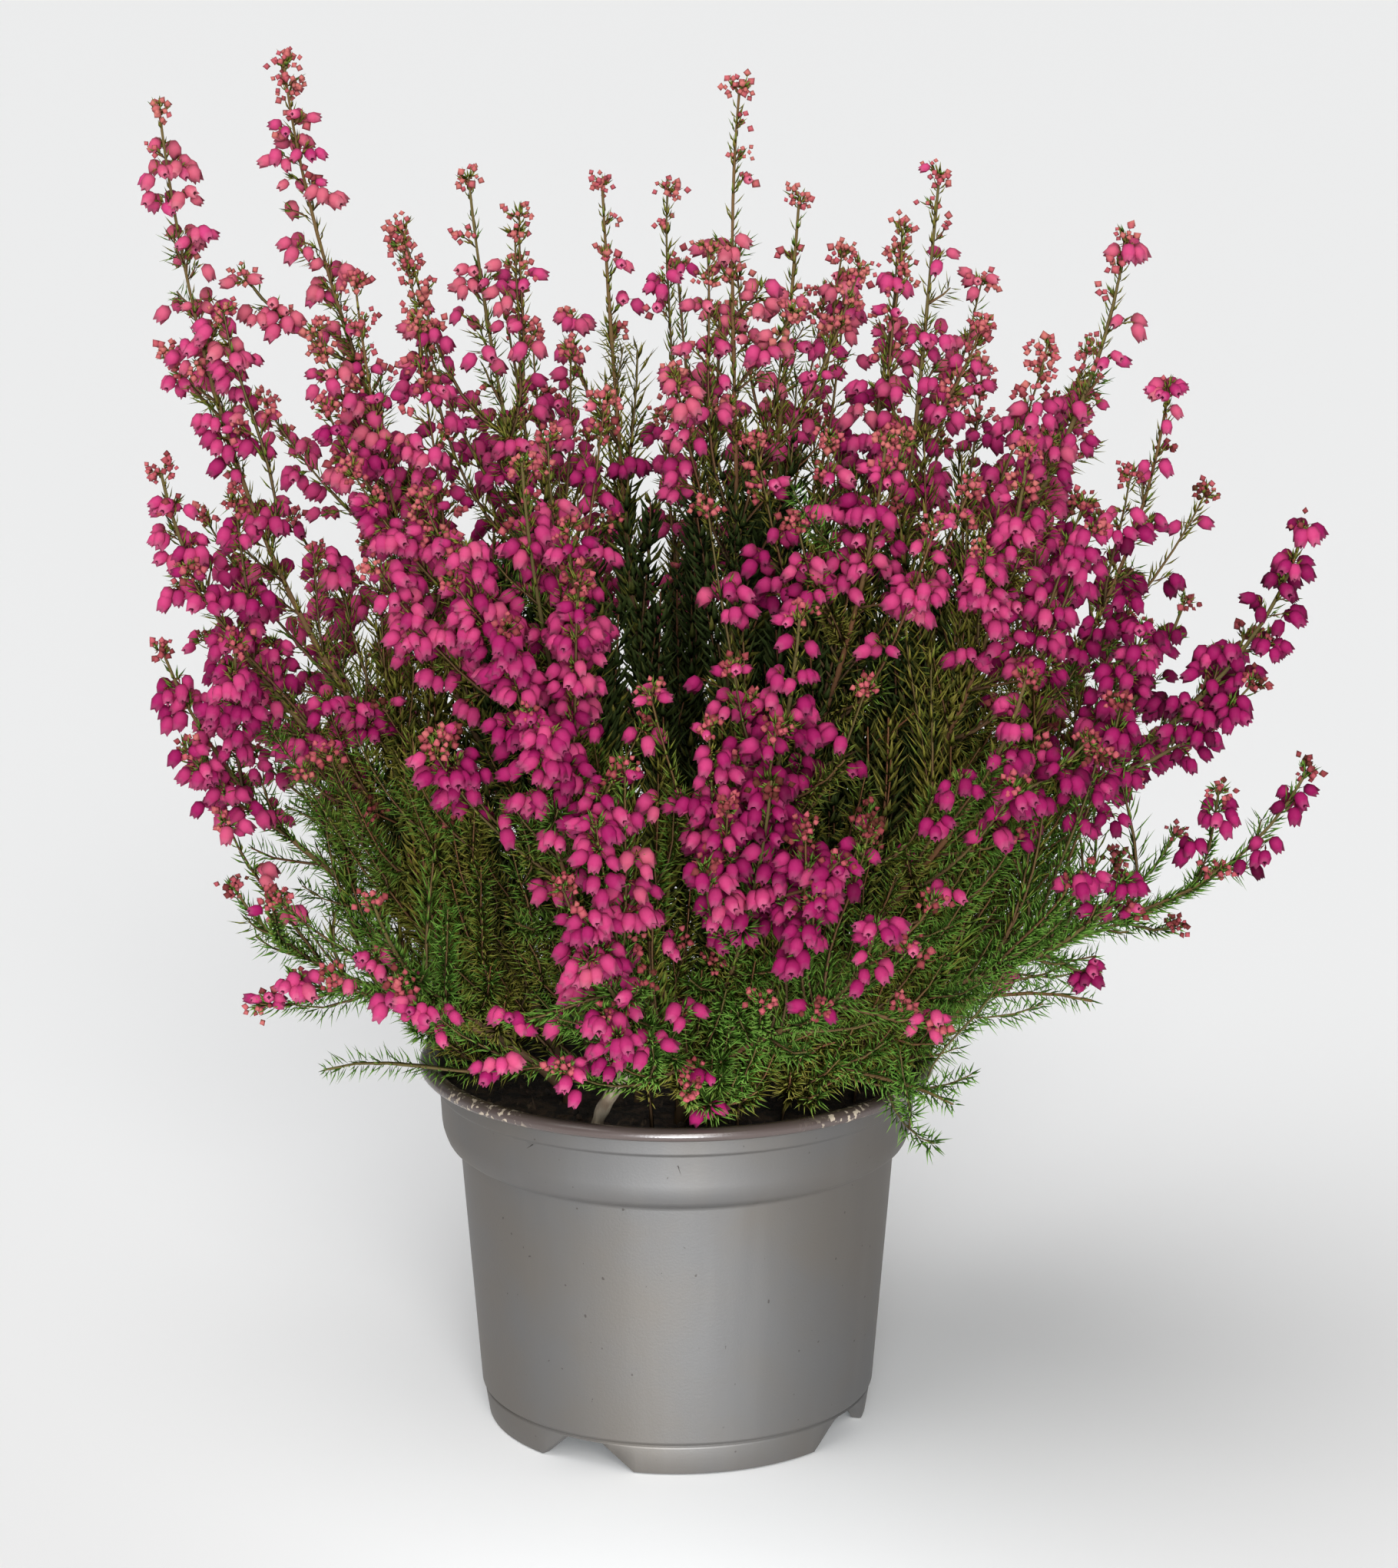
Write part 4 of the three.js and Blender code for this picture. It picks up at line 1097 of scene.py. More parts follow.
STEMS: list[tuple[Pair, Tips, Tips, Point | None]] = [
    ((-20, 1), ((-87, 5, 315), (-80, -10, 257), (-96, -4, 268)),
     ((-113, -10, 305), (-99, -20, 262), (-114, 2, 250)), None),
    ((-11, 4), ((-47, 20, 287), (-62, 15, 272), (-36, 6, 276)),
     ((-71, -8, 267), (-56, -24, 260), (-76, -32, 243)), None),
    ((-2, 7), ((-17, 30, 284), (-2, 22, 284), (-24, 8, 250)),
     ((14, 0, 308), (7, -12, 275), (26, -18, 262)), None),
    ((9, 5), ((28, 28, 282), (40, 34, 264), (14, 40, 262)),
     ((59, 10, 289), (50, 18, 270), (68, -10, 258)), None),
    ((18, -2), ((100, 0, 276), (82, -14, 254), (94, 16, 250)),
     ((109, -14, 245), (120, 4, 218), (99, -34, 228)), None),
    ((26, -8), ((139, -20, 214), (128, -26, 180), (130, 2, 186)),
     ((140, -28, 160), (121, -34, 140), (118, -52, 162)), (92, -44, 112)),
    ((-26, -7), ((-113, -25, 227), (-106, -44, 210), (-94, -52, 226)),
     ((-115, -15, 185), (-108, -38, 168), (-94, -60, 196)), None),
    ((-25, -17), ((-101, -12, 130), (-94, -26, 106), (-88, -56, 138)),
     ((-64, -84, 146), (-74, -74, 126), (-54, -90, 124)), (-78, -44, 96)),
    ((-9, -17), ((-32, -70, 237), (-20, -84, 214), (-46, -82, 214)),
     ((-30, -98, 190), (-50, -92, 180), (-12, -104, 178)), None),
    ((11, -9), ((45, -50, 238), (55, -64, 222), (26, -62, 222)),
     ((76, -42, 234), (90, -46, 218), (66, -60, 216)), None),
    ((5, -21), ((26, -88, 208), (40, -92, 194), (12, -92, 198)),
     ((20, -102, 176), (6, -108, 160), (34, -106, 160)), None),
    ((17, -19), ((74, -76, 192), (60, -88, 174), (88, -66, 176)),
     ((98, -50, 142), (86, -64, 146), (92, -42, 118)), (60, -72, 97)),
    ((1, -31), ((42, -104, 146), (30, -104, 128), (54, -92, 122)),
     ((-18, -106, 148), (-12, -104, 122), (-36, -98, 124)), None),
    ((-18, 13), ((-75, 62, 228), (-92, 50, 204), (-60, 76, 204)),
     ((-98, 42, 168), (-110, 24, 180), (-86, 62, 148)), None),
    ((-9, 18), ((-35, 78, 243), (-50, 84, 216), (-22, 92, 216)),
     ((-52, 98, 170), (-70, 88, 148), (-34, 108, 150)), None),
    ((0, 19), ((10, 70, 250), (-4, 84, 224), (24, 86, 222)),
     ((-2, 110, 176), (-18, 114, 152), (16, 116, 148)), None),
    ((9, 18), ((50, 66, 244), (64, 72, 218), (38, 84, 220)),
     ((46, 104, 164), (62, 98, 140), (30, 112, 146)), None),
    ((18, 12), ((88, 44, 232), (100, 50, 204), (76, 64, 206)),
     ((92, 74, 160), (106, 58, 178), (78, 88, 138)), None),
    ((26, 4), ((118, 26, 188), (126, 40, 162), (106, 44, 190)),
     ((116, 18, 134), (106, 44, 122), (114, -4, 118)), None),
]

# Tips of further flowering shoots that stand between the CAD source's own
SPIRE_TIPS: list[Point] = [
    (-62, 15, 276), (-35, 5, 280), (38, 30, 269), (41, 0, 269), (51, 15, 276),
    (-15, -45, 246), (-27, -55, 239), (0, -35, 250), (-44, -80, 222), (-22, -80, 225),
    (-20, -90, 211), (-35, -95, 207), (-26, -100, 187), (-53, -65, 228), (-63, -70, 215),
    (-69, -55, 233), (17, -40, 237), (33, -45, 238), (7, -60, 225), (49, -45, 238),
    (88, -45, 224), (63, -55, 229), (-5, -100, 194), (-10, -105, 179), (7, -100, 187),
    (21, -100, 187), (11, -105, 171), (27, -105, 166), (91, -60, 172), (71, -85, 170),
    (-16, -108, 169), (-23, -108, 155), (40, -105, 166), (54, -100, 150), (29, -108, 152),
    (-49, -90, 183), (-58, -85, 127), (-15, -100, 126),
    (-24, -85, 109), (18, -95, 127), (3, -80, 103), (49, -95, 138), (102, -45, 197),
    (96, -55, 181), (102, -40, 134), (90, -60, 146), (-99, -40, 152), (-85, -60, 139),
    (-85, -40, 117), (-40, 30, 262), (70, 30, 262), (-60, 45, 250), (0, 55, 262),
    (-25, 60, 250), (35, 52, 258), (72, 55, 240), (92, 22, 238), (-96, 28, 236),
    (-20, 100, 200), (24, 104, 196), (66, 88, 190), (-60, 88, 190), (-86, 74, 186),
    (94, 48, 208), (-108, 10, 212), (-100, 34, 150), (0, 112, 150), (64, 96, 128),
]

# Tips of low tufts of bells over the rim in front
TUFT_TIPS: list[Point] = [
    (-20, -84, 128), (-12, -88, 124), (-24, -82, 118), (-15, -84, 112), (-5, -86, 116), (2, -84, 122),
    (-25, -72, 107), (5, -68, 103), (48, -84, 122),
    (-38, -78, 108), (-52, -74, 118), (-60, -70, 122),
    (-66, -60, 128), (-6, -92, 186), (-12, -100, 170), (-16, -98, 140),
]

# Tips of shoots that bear only needles, low round the rim and one fresh one in front
LEAFY_TIPS: list[Point] = [
    (25, -65, 230), (80, -60, 116), (64, -70, 103), (56, -72, 88), (-74, -30, 93), (-66, -44, 92),
    (84, -52, 132), (70, -78, 128), (48, -82, 112),
]


@dataclass
class Bush:
    """The whole plant: the CAD source's stems, with further shoots that fork off them.

    Each layer of the skirt has a count of twigs and its girth against the outer one's. The shoots from
    the peat are at `basal_feet` from the pot's axis at their feet, and at `basal_tips` at their tips.
    """

    gardener: Gardener = field(default_factory=Gardener)
    kept_heading: float = 0.7
    side_gap: float = 9.5
    basal_count: int = 40
    basal_feet: Pair = (16, 44)
    basal_tips: Pair = (50, 74)
    basal_from: float = 79.0
    basal_to: Pair = (98, 122)
    skirt_layers: tuple[tuple[int, float], ...] = ((380, 1.0), (230, 0.8))
    skirt_low: float = 92.0
    skirt_high: float = 176.0
    leafy_run: float = 26.0
    core_count: int = 450
    core_rise: Pair = (38, 66)
    core_lean: Pair = (-8, 16)
    ripe_tips: tuple[Point, ...] = ((-113, -10, 305), (100, 0, 276), (139, -20, 214), (109, -14, 245),
                                    (140, -28, 160), (-96, -4, 268), (-99, -20, 262))

    def __post_init__(self) -> None:
        """Plans every shoot."""
        self.stems = [Stem(i + 1, *row) for i, row in enumerate(STEMS)]
        self._limbs: list[tuple[Stem, Route]] = []
        self._spots = np.zeros((0, 5))
        for stem in self.stems:
            for route in stem.leaders:
                self._note(stem, route, np.linspace(0.08, 0.9, 60))
        self._ripen()
        for tip in SPIRE_TIPS:
            self._join(tip, Habit.SPIRE)
        for tip in TUFT_TIPS:
            self._join(tip, Habit.TUFT)
        for tip in LEAFY_TIPS:
            self._join(tip, Habit.LEAFY, 0.4 if tip[2] > 200 else 0.1)
        for stem in self.stems:
            for route in stem.leaders:
                self._clothe(stem, route)
        self._basal()
        self._skirt()
        self._core()

    def _note(self, stem: Stem, route: Route, share: Array) -> None:
        """Notes points of a limb that later twigs can fork off: x, y, z, limb and share."""
        rows = np.column_stack([route.at(share), np.full(len(share), len(self._limbs)), share])
        self._limbs.append((stem, route))
        self._spots = np.vstack([self._spots, rows])

    def _ripen(self) -> None:
        """Gives each shoot of the CAD source its length in bud."""
        for stem in self.stems:
            for shoot in stem.shoots:
                shoot.green_tip = min(self._green_tip(shoot.route.knots[3]), 0.45 * shoot.bloom)

    def _green_tip(self, tip: Array) -> float:
        """Length of a shoot that is still in bud: long on most of the tallest, short on some."""
        chance = self.gardener.chance
        bare = min(np.linalg.norm(tip - np.array(ripe)) for ripe in self.ripe_tips) < 1
        if bare or chance.random() < 0.3:
            return chance.uniform(1, 4)
        return chance.uniform(1, 6) + chance.uniform(22, 38) * float(ease(205, 275, tip[2]))

    def _join(self, place: Point | Array, habit: Habit, fresh: float = 0.0) -> None:
        """Forks a shoot off the limb that passes nearest to a point below and inside its tip."""
        chance, tip = self.gardener.chance, np.array(place, float)
        if habit is Habit.SPIRE:
            wanted = tip * [0.80, 0.80, 1] - UP * min(48.0, 0.5 * (tip[2] - LIP_HEIGHT))
        else:
            wanted = tip - 14 * outward_of(tip) - UP * min(20.0, 0.8 * (tip[2] - LIP_HEIGHT))
        far = np.linalg.norm(self._spots[:, :3] - wanted, axis=1)
        row = self._spots[np.argmin(far + 3 * np.maximum(self._spots[:, 2] - tip[2] + 10, 0))]
        stem, route = self._limbs[int(row[3])]
        fork = route.shoot(float(row[4]), tip, self.kept_heading)
        seen = tip - 6 * UP if habit is Habit.TUFT else fork.points(0.3, 1, 6)
        if habit is not Habit.SPIRE and self.gardener.zones.open_front(seen):
            return
        length = fork.length()
        if habit is Habit.SPIRE:
            shoot = Shoot(fork, habit, (0.5, 0.28), min(0.72 * length, chance.uniform(34, 58)),
                          self._green_tip(tip))
        else:
            run = min(1.0, self.leafy_run * chance.uniform(0.8, 1.2) / length)
            shoot = Shoot(fork, habit, (0.36, 0.20), chance.uniform(5, 13), chance.uniform(0.5, 2),
                          1 - run, fresh)
            self._note(stem, fork, np.linspace(0.3, 0.75, 6))
        stem.shoots.append(shoot)

    def _clothe(self, stem: Stem, route: Route) -> None:
        """Side twigs along a leader: tufts or leafy twigs outside, and inside the bush inner twigs whose dark
        blades are painted shade.
        """
        chance, zones = self.gardener.chance, self.gardener.zones
        length = route.length()
        place, turn = 0.06 * length, chance.uniform(0, TURN)
        while place < 0.84 * length:
            share = place / length
            foot, ahead = route.at(share), route.ahead(share)
            turn += 2.4
            radial = around(ahead[None], np.array([turn]))[0]
            way = unit(0.75 * radial + 0.35 * outward_of(foot) + 0.85 * ahead + chance.normal(0, 0.12, 3))
            short = max(0.6 * ease(190, 235, foot[2]), 0.7 * ease(70, 100, np.hypot(*foot[:2])))
            reach = chance.uniform(17, 31) * (1.1 - 0.35 * share) * (1 - float(short))
            tip = foot + way * reach + UP * 0.18 * reach
            inside = float(zones.depth(tip)) < 0.5
            tuft = chance.random() < 0.6 * float(zones.bloom(tip))
            habit = Habit.INNER if inside else Habit.TUFT if tuft else Habit.LEAFY
            fork = Route.twig(foot, unit(way + 0.2 * ahead), tip, unit(way + 0.7 * UP))
            hidden = inside or not zones.open_front(fork.points(0.3, 1, 4))
            if hidden and (tip[2] > 90 or np.hypot(*tip[:2]) > 64):
                stem.shoots.append(Shoot(fork, habit, (0.38, 0.22), chance.uniform(6, 14), 1.0))
            place += self.side_gap * chance.uniform(0.75, 1.25)

    def _basal(self) -> None:
        """Leafy shoots from the peat that lean out over the rim."""
        chance = self.gardener.chance
        for i in range(self.basal_count):
            angle = TURN * (i + chance.uniform(-0.3, 0.3)) / self.basal_count
            near, far = chance.uniform(*self.basal_feet), chance.uniform(*self.basal_tips)
            way = np.array([math.cos(angle), math.sin(angle), 0])
            foot = way * near + UP * self.basal_from
            tip = way * far + UP * (chance.uniform(*self.basal_to) - 6 * (far > 66))
            route = Route.twig(foot, unit(0.25 * way + UP), tip, unit(0.9 * way + 0.2 * UP))
            if self.gardener.zones.open_front(route.points(0.3, 1, 6)) and chance.random() < 0.85:
                continue
            ends = [np.linalg.norm(stem.leaders[0].knots[0][:2] - foot[:2]) for stem in self.stems]
            stem = self.stems[int(np.argmin(ends))]
            stem.shoots.append(Shoot(route, Habit.LEAFY, (0.55, 0.28), leafy=0.25))
            self._note(stem, route, np.linspace(0.3, 0.8, 6))

    def _skirt(self) -> None:
        """Twigs whose tips cover the low part of the bush in golden spirals, layer under layer."""
        chance, zones = self.gardener.chance, self.gardener.zones
        for count, shrink in self.skirt_layers:
            for i in range(count):
                angle = i * GOLDEN_ANGLE
                level = (i + chance.random()) / count
                height = self.skirt_low + (self.skirt_high - self.skirt_low) * level**1.25
                girth = shrink * (65 + skirt_flare(height)) * chance.uniform(0.88, 1.04)
                tip = np.array([SKIRT_AXIS[0] + girth * math.cos(angle),
                                SKIRT_AXIS[1] + SKIRT_FLAT * girth * math.sin(angle), height])
                tuft = chance.random() < 0.7 * float(zones.bloom(tip))
                self._join(tip, Habit.TUFT if tuft else Habit.LEAFY)

    def _core(self) -> None:
        """Upright inner twigs that fill the inside of the bush; their wide, dark blades are painted shade."""
        chance = self.gardener.chance
        for i in range(self.core_count):
            stem = self.stems[i % len(self.stems)]
            route = stem.leaders[chance.integers(2)]
            foot = route.at(chance.uniform(0.12, 0.62))
            tip = foot + UP * chance.uniform(*self.core_rise)
            tip = tip + outward_of(foot) * chance.uniform(*self.core_lean)
            if float(self.gardener.zones.depth(tip)) < 0.74:
                fork = Route.twig(foot, unit(route.ahead(0.4) + UP), tip, UP)
                stem.shoots.append(Shoot(fork, Habit.INNER, (0.5, 0.25)))

    def build(self) -> int:
        """Builds two pieces for each stem, its greenery and its flowers.

        Returns:
            How many triangles they have.
        """
        leaf, petal = Needles().material(), Petals().material()
        total = 0
        for stem in self.stems:
            petals, greens = Surface(), Surface()
            for i, shoot in enumerate(stem.shoots):
                self.gardener.twig(shoot, greens, stem.below() if i == 0 else None)
                self.gardener.dress(shoot, petals, greens)
            names = stem.nodes()
            seat(greens.build(f"greenery_{stem.number:02d}", leaf, True), names["greens"])
            seat(petals.build(f"flowers_{stem.number:02d}", petal, True), names["flowers"])
            total += greens.triangles() + petals.triangles()
        return total


# The pot and what fills it


def rounded(profile: Profile, steps: int) -> Array:
    """A profile whose corners are rounded: each corner becomes the curve (1-t)^2 a + 2t(1-t) c + t^2 b.

    Args:
        profile: radius, height and how much of each side the rounding takes.
        steps: points on each rounded corner.

    Returns:
        Radius and height of each point.
    """
    rows = np.array(profile)
    points, take = rows[:, :2], rows[:, 2]
    made = []
    t = np.linspace(0, 1, steps)[:, None]
    for i, corner in enumerate(points):
        if take[i] == 0:
            made.append(corner[None])
            continue
        before, after = points[i - 1] - corner, points[i + 1] - corner
        a = corner + before * min(0.45, take[i] / np.linalg.norm(before))
        b = corner + after * min(0.45, take[i] / np.linalg.norm(after))
        made.append((1 - t) ** 2 * a + 2 * t * (1 - t) * corner + t * t * b)
    return np.vstack(made)


def shell(profile: Array, angles: Array, lift: Array | None = None) -> Surface:
    """A surface turned from a whole profile.

    Args:
        profile: radius and height, from the axis underneath round to the axis on top.
        angles: where the turned sections stand, going round once.
        lift: a height for each profile point and section in place of the profile's, or None.

    Returns:
        The surface.
    """
    heights = profile[:, 1:] if lift is None else lift
    points, faces = turn(profile[1:-1, :1], heights[1:-1], (profile[0, 1], profile[-1, 1]), angles)
    surface = Surface()
    surface.add(points, faces, np.zeros((len(points), 2)))
    return surface


def soften(piece: bpy.types.Object, degrees: float) -> None:
    """Shades a piece smooth but for edges sharper than an angle."""
    piece.data.set_sharp_from_angle(angle=math.radians(degrees))


@dataclass
class Pot:
    """The grower's pot: pad, drain channel, notched foot ring, groove, tapered body, collar and lip."""

    rim: float = 60.0
    height: float = 87.0
    foot: float = 44.3
    foot_height: float = 6.8
    channel: float = 6.6
    floor: float = 8.6
    pad: float = 17.0
    notches: int = 4
    notch_azimuth: float = -28.5
    notch_height: float = 6.2
    notch_half: Pair = (12.2, 4.7)
    drain_radius: float = 3.0
    drain_pitch: float = 29.0
    sections: int = 180

    def profile(self) -> Array:
        """Radius and height from the axis under the pot, round its outside, to the axis inside."""
        return rounded([
            (0, 0, 0), (self.pad, 0, 0.5), (self.pad + 2, self.channel, 0.8),
            (self.foot - 3.4, self.channel, 0.8), (self.foot - 2.6, 0, 0.4), (self.foot, 0, 0.5),
            (45.4, self.foot_height, 0.35), (44.9, 7.2, 0.25), (45.94, 8.0, 0.3),
            (50.5, 65.8, 0.7), (53.2, 67.2, 0.9), (54.6, 70.8, 1.5), (55.1, 79.4, 0.3),
            (55.8, 79.9, 0.35), (55.9, 84.0, 0.5), (self.rim - 0.7, 84.0, 0.7),
            (self.rim, 85.4, 0.9), (self.rim - 0.9, self.height - 0.2, 0.8),
            (self.rim - 2.6, self.height, 0.9), (55.4, self.height - 0.9, 1.0), (54.4, 79.4, 1.0),
            (53.2, 70.8, 1.5), (49.2, 64.8, 1.0), (43.2, self.floor, 1.2),
            (self.pad + 1, self.floor, 0.8), (self.pad - 1, 2.0, 0.8), (0, 2.0, 0),
        ], 3)

    def _centres(self) -> Array:
        """Angle of each notch's middle."""
        return np.radians(self.notch_azimuth - 90 + 360 / self.notches * np.arange(self.notches))

    def _angles(self) -> Array:
        """Even sections, with one on each corner of each notch."""
        even = TURN * np.arange(self.sections) / self.sections
        corners = [half / self.foot * side for half in self.notch_half for side in (-1, 1)]
        marks = (self._centres()[:, None] + np.array(corners)).ravel() % TURN
        apart = np.abs((even[:, None] - marks + math.pi) % TURN - math.pi).min(1)
        return np.sort(np.concatenate([even[apart > 0.006], marks]))

    def _notch(self, angles: Array) -> Array:
        """Notch height over each angle: a trapezoid, highest in the middle."""
        wide, narrow = self.notch_half
        pitch = TURN / self.notches
        across = np.abs((angles - self._centres()[0] + pitch / 2) % pitch - pitch / 2) * self.foot
        return self.notch_height * np.clip((wide - across) / (wide - narrow), 0, 1)

    def build(self) -> None:
        """Turns the shell and squeezes its foot ring up over each notch: h' = n + h (1 - n / top)."""
        profile, angles = self.profile(), self._angles()
        radius, height = profile[:, :1], profile[:, 1:]
        ring = (radius > self.foot - 3.6) & (height < self.foot_height)
        notch = self._notch(angles)
        squeezed = notch + height * (1 - notch / self.foot_height)
        lift = np.where(ring, squeezed, height)
        piece = shell(profile, angles, lift).build("pot_shell", PotPlastic().material())
        self._drain(piece)
        soften(piece, 38)
        seat(piece, ["pot"])

    def _drain(self, piece: bpy.types.Object) -> None:
        """Cuts a round drain hole behind each notch."""
        plug = Surface()
        angle = self._centres()
        rod = Organ.turned([(0, 0, 0), (1, 0, 0), (1, 1, 1), (0, 1, 1)], 24)
        across, over = self.drain_pitch * np.cos(angle), self.drain_pitch * np.sin(angle)
        feet = np.stack([across, over, 0 * angle + 4], -1)
        plug.scatter(rod, Band.TWIG, feet, 0 * feet + UP, feet, 8, self.drain_radius, 0)
        cutter = plug.build("drain_cutter", piece.data.materials[0])
        cut = piece.modifiers.new("drains", "BOOLEAN")
        cut.operation, cut.object, cut.solver = "DIFFERENCE", cutter, "EXACT"
        bpy.context.view_layer.update()
        mesh = bpy.data.meshes.new_from_object(piece.evaluated_get(bpy.context.evaluated_depsgraph_get()))
        piece.modifiers.clear()
        piece.data = mesh
        bpy.data.objects.remove(cutter)


def fractal(points: Array, wavelength: float, chance: np.random.Generator) -> Array:
    """Sum over octaves of sin(k . p + phase) in random directions, each half the size of the last."""
    total = np.zeros(len(points))
    for octave in range(4):
        for _ in range(5):
            way = unit(chance.standard_normal(3)) * TURN * 2**octave / wavelength
            total += np.sin(points @ way + chance.uniform(0, TURN)) / 2**octave / 3
    return total


@dataclass
class Peat:
    """The root ball with its crumbly top."""

    edge: float = 78.5
    crown: float = 80.5
    radius: float = 53.7
    floor: float = 8.9
    crumbs: int = 320
    seed: int = 7

    def _dome(self, radius: Array) -> Array:
        """Height of the top at a radius: it falls from the crown with the square of the radius."""
        return self.crown - (self.crown - self.edge) * (radius / self.radius) ** 2

    def build(self) -> None:
        """Turns the root ball, roughens its top and strews crumbs and fibres on it."""
        chance = np.random.default_rng(self.seed)
        rings = np.linspace(self.radius - 0.1, 0, 45)
        under = [(0, 2.4), (15, 2.4), (17, self.floor), (42.4, self.floor), (48.4, 65.2), (52.4, 70.8)]
        top = np.stack([rings, self._dome(rings)], -1)
        surface = shell(np.vstack([under, top]), TURN * np.arange(120) / 120)
        points = surface.points[0]
        on_top = (points[:, 2] > self.edge - 0.4) & (np.hypot(points[:, 0], points[:, 1]) < self.radius - 0.7)
        rough = fractal(points, 14, chance) * 0.55 + fractal(points, 3.1, chance) * 0.32
        points[:, 2] += np.where(on_top, rough, 0)
        self._strew(surface, chance)
        piece = surface.build("peat_top", PeatSoil().material())
        soften(piece, 50)
        seat(piece, ["soil"])

    def _strew(self, surface: Surface, chance: np.random.Generator) -> None:
        """Crumbs of peat and short fibres that lie half sunk in the top."""
        count = self.crumbs
        angle = chance.uniform(0, TURN, count)
        radius = 52.3 * np.sqrt(chance.random(count))
        roots = np.stack([radius * np.cos(angle), radius * np.sin(angle), self._dome(radius) - 0.4], -1)
        axes = chance.standard_normal((count, 3)) + UP
        size = 0.7 + 1.9 * chance.random(count) ** 3
        spin = chance.standard_normal((count, 3))
        surface.scatter(CRUMB, Band.TWIG, roots, axes, spin, size * 1.2, size * 0.55, 0)
        half = count // 2
        lying = chance.standard_normal((half, 3)) * [1, 1, 0.12]
        surface.scatter(BLADE, Band.TWIG, roots[:half] + UP * 0.7, lying, spin[:half],
                        chance.uniform(3, 9, half), 0.22, 0)


@dataclass
class OldWood:
    """The bare crooked branch near the rim in front, forked and cut back."""

    foot: Point = (-18, -43, 79.5)
    tip: Point = (-3, -46, 108)
    half: Pair = (1.75, 1.0)
    forks: tuple[tuple[float, Point], ...] = ((0.5, (-20, -44, 106)), (0.75, (-5, -36, 112)))
    fork_half: Pair = (1.15, 0.6)
    seed: int = 5

    def build(self) -> None:
        """Carries a knotty ring along the branch, from its seat in the peat, and along its forks."""
        chance = np.random.default_rng(self.seed)
        foot, tip = np.array(self.foot, float), np.array(self.tip, float)
        main = Route.twig(foot, UP, tip, shoot_end(foot, tip))
        surface = Surface()
        sunk = np.vstack([foot - UP * 6.5, main.points(0, 1, 26)])
        self._limb(surface, sunk, self.half, chance)
        for share, end in self.forks:
            tip = np.array(end, float)
            fork = main.shoot(share, tip, KEPT_HEADING)
            self._limb(surface, fork.points(0, 1, 18), self.fork_half, chance)
        seat(surface.build("old_branch", Bark().material()), ["old_wood"])

    @staticmethod
    def _limb(surface: Surface, line: Array, half: Pair, chance: np.random.Generator) -> None:
        """One limb: its line wanders a little and its radius swells at knots."""
        steps = len(line)
        wander = np.cumsum(chance.normal(0, 0.10, (steps, 3)), 0)
        share = np.linspace(0, 1, steps)
        knots = 1 + 0.16 * np.sin(share * 23 + 1) * np.sin(share * 9) + chance.normal(0, 0.05, steps)
        radii = (half[0] + (half[1] - half[0]) * share) * knots
        surface.tube(line + wander * share[:, None], radii, 0 * share, 12)


# The studio


@dataclass(frozen=True)
class Lamp:
    """A sun, or with a place in metres a small lamp. It shines along `way`, spread in degrees."""

    name: str
    power: float
    spread: float
    colour: Colour
    way: Point
    place: Point | None = None
    size: Pair = (0.12, 0.05)

    def build(self) -> None:
        """Hangs the lamp up."""
        data = bpy.data.lights.new(self.name, "AREA" if self.place else "SUN")
        data.energy, data.color = self.power, self.colour
        made = link(self.name, data)
        made.rotation_euler = Vector(self.way).to_track_quat("-Z", "Y").to_euler()
        if self.place:
            data.shape, data.spread = "RECTANGLE", math.radians(self.spread)
            data.size, data.size_y = self.size
            made.location = self.place
        else:
            data.angle = math.radians(self.spread)


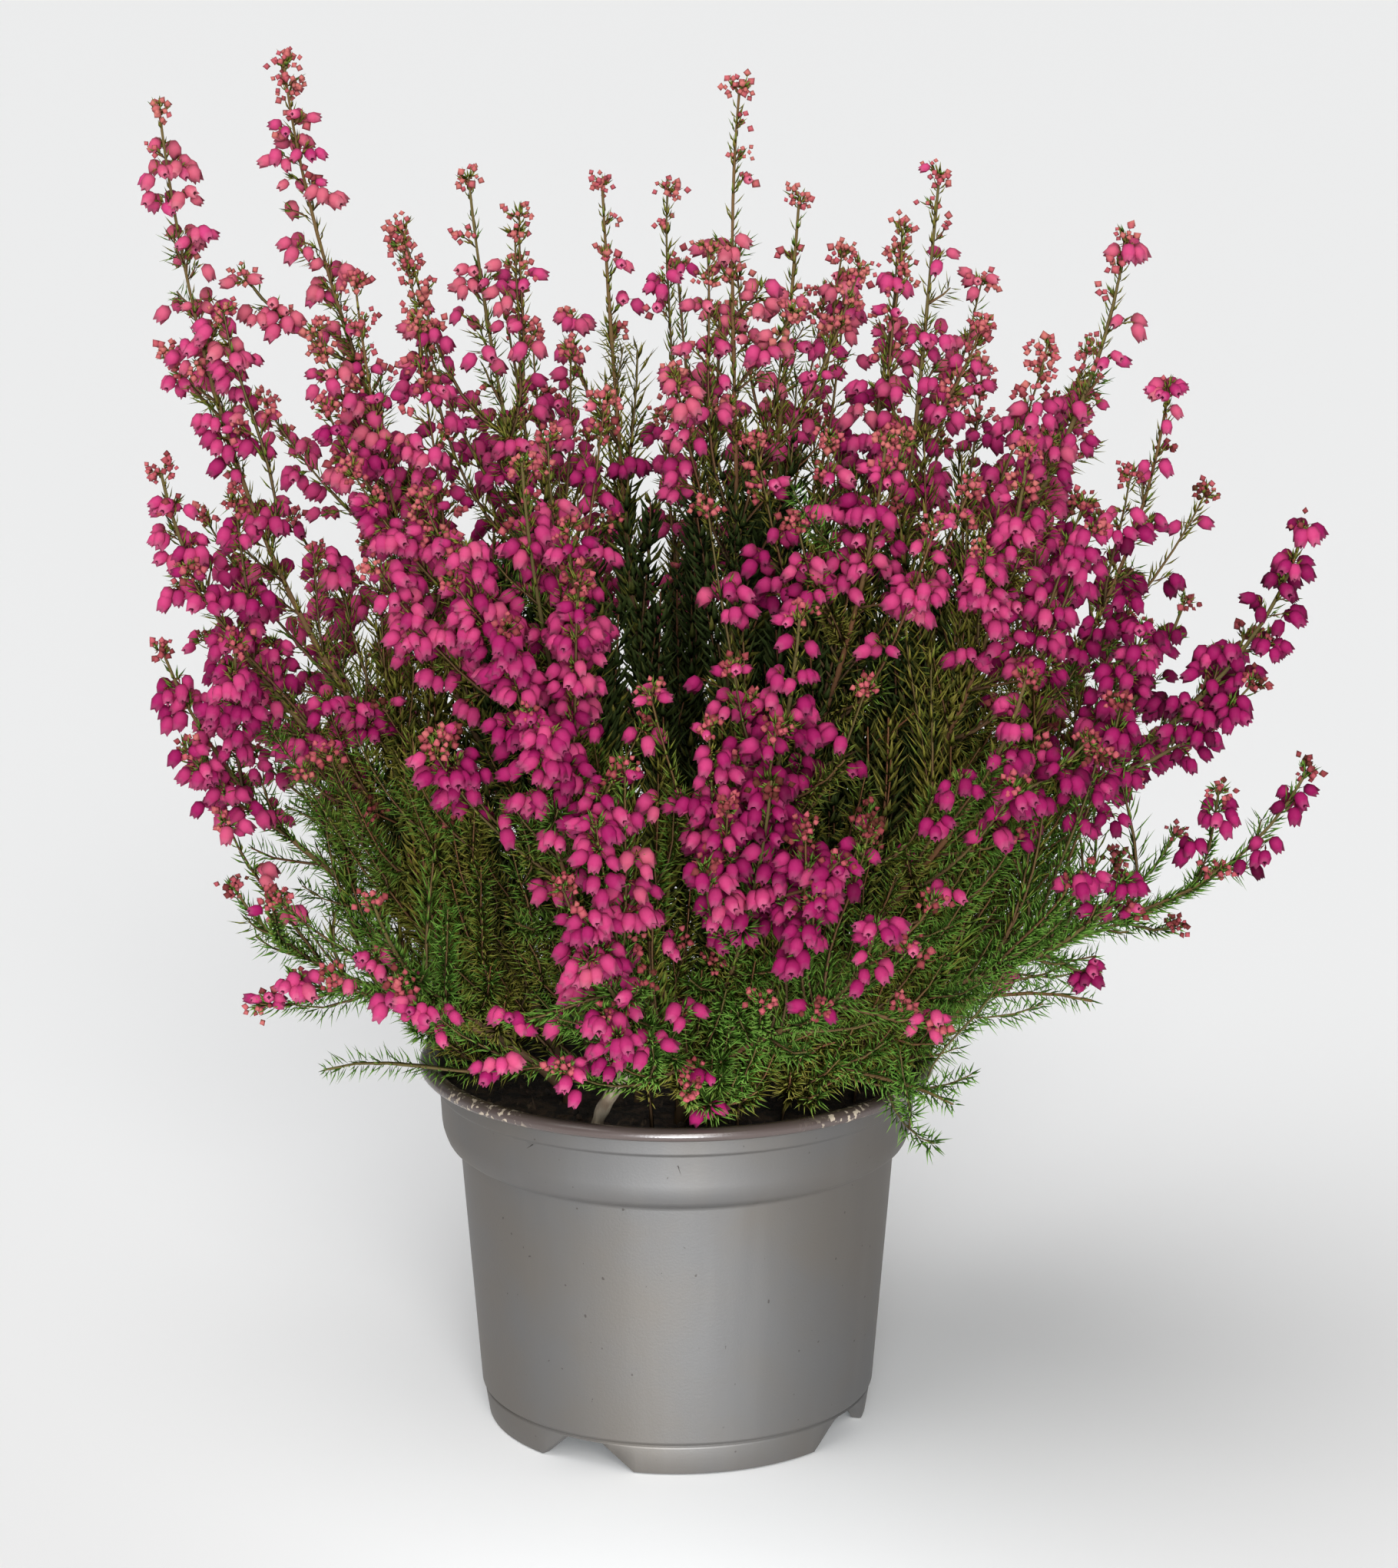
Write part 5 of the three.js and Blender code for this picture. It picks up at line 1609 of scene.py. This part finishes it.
@dataclass
class Studio:
    """Camera at the photograph's angle, pale floor and soft light.

    One lamp is level with the pot, one over the camera, one overhead, and a small one stands on the
    floor in front, below the view, and shines on the pot.
    """

    place: Point = (5.1, -1000.0, 392.0)
    pitch: float = 13.56
    focal: float = 5849.0
    long_side: float = 2042.0
    film: float = 36.0
    floor_half: float = 12.0
    floor_drop: float = 0.0002
    paint: Colour = (0.90, 0.90, 0.90)
    surround: Colour = (0.97, 0.985, 1.0)
    surround_power: float = 0.24
    lamps: tuple[Lamp, ...] = (
        Lamp("flash", 3.3, 28, (0.95, 0.98, 1.0), (-0.01, 1.0, -0.04)),
        Lamp("key", 1.2, 20, (1.0, 0.985, 0.965), (-0.12, 1.0, -0.50)),
        Lamp("top", 1.7, 60, (1.0, 1.0, 1.0), (0.35, 0.35, -1.0)),
        Lamp("low_lamp", 0.115, 44, (0.90, 0.955, 1.0), (0, 1, -0.02), (0.003, -0.36, 0.030)),
    )

    def camera(self) -> None:
        """Places the camera: its lens is focal length in pixels over the long side, times the film."""
        data = bpy.data.cameras.new("camera")
        data.sensor_width = self.film
        data.lens = self.film * self.focal / self.long_side
        data.clip_start, data.clip_end = 0.05, 60.0
        made = link("camera", data)
        made.location = Vector(self.place) * METRE
        made.rotation_euler = (math.radians(90 - self.pitch), 0.0, 0.0)
        bpy.context.scene.camera = made

    def floor(self) -> None:
        """Lays a wide pale floor, a hair lower than the pot's foot."""
        corners = ((-1, -1), (1, -1), (1, 1), (-1, 1))
        mesh = bpy.data.meshes.new("floor")
        points = [(x * self.floor_half, y * self.floor_half, -self.floor_drop) for x, y in corners]
        mesh.from_pydata(points, [], [(0, 1, 2, 3)])
        mesh.materials.append(Shader("floor_paint").set(Base_Color=self.paint, Roughness=0.9))
        link("floor", mesh)

    def light(self) -> None:
        """Hangs up the lamps and lights the surround."""
        for lamp in self.lamps:
            lamp.build()
        world = bpy.data.worlds.new("surround")
        world.use_nodes = True
        back = world.node_tree.nodes["Background"]
        back.inputs[0].default_value = (*self.surround, 1.0)
        back.inputs[1].default_value = self.surround_power
        bpy.context.scene.world = world

    def build(self) -> None:
        """Sets up the whole studio."""
        self.camera()
        self.floor()
        self.light()
        view = bpy.context.scene.view_settings
        view.view_transform = "Standard"
        view.look = "None"


def main() -> None:
    """Builds every part in order and logs the triangle counts of the new pieces."""
    logging.basicConfig(level=logging.INFO, format="%(name)s %(message)s")
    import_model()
    Studio().build()
    Pot().build()
    Peat().build()
    OldWood().build()
    log.info("the bush has %d triangles", Bush().build())
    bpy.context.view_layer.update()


if __name__ == "__main__":
    main()
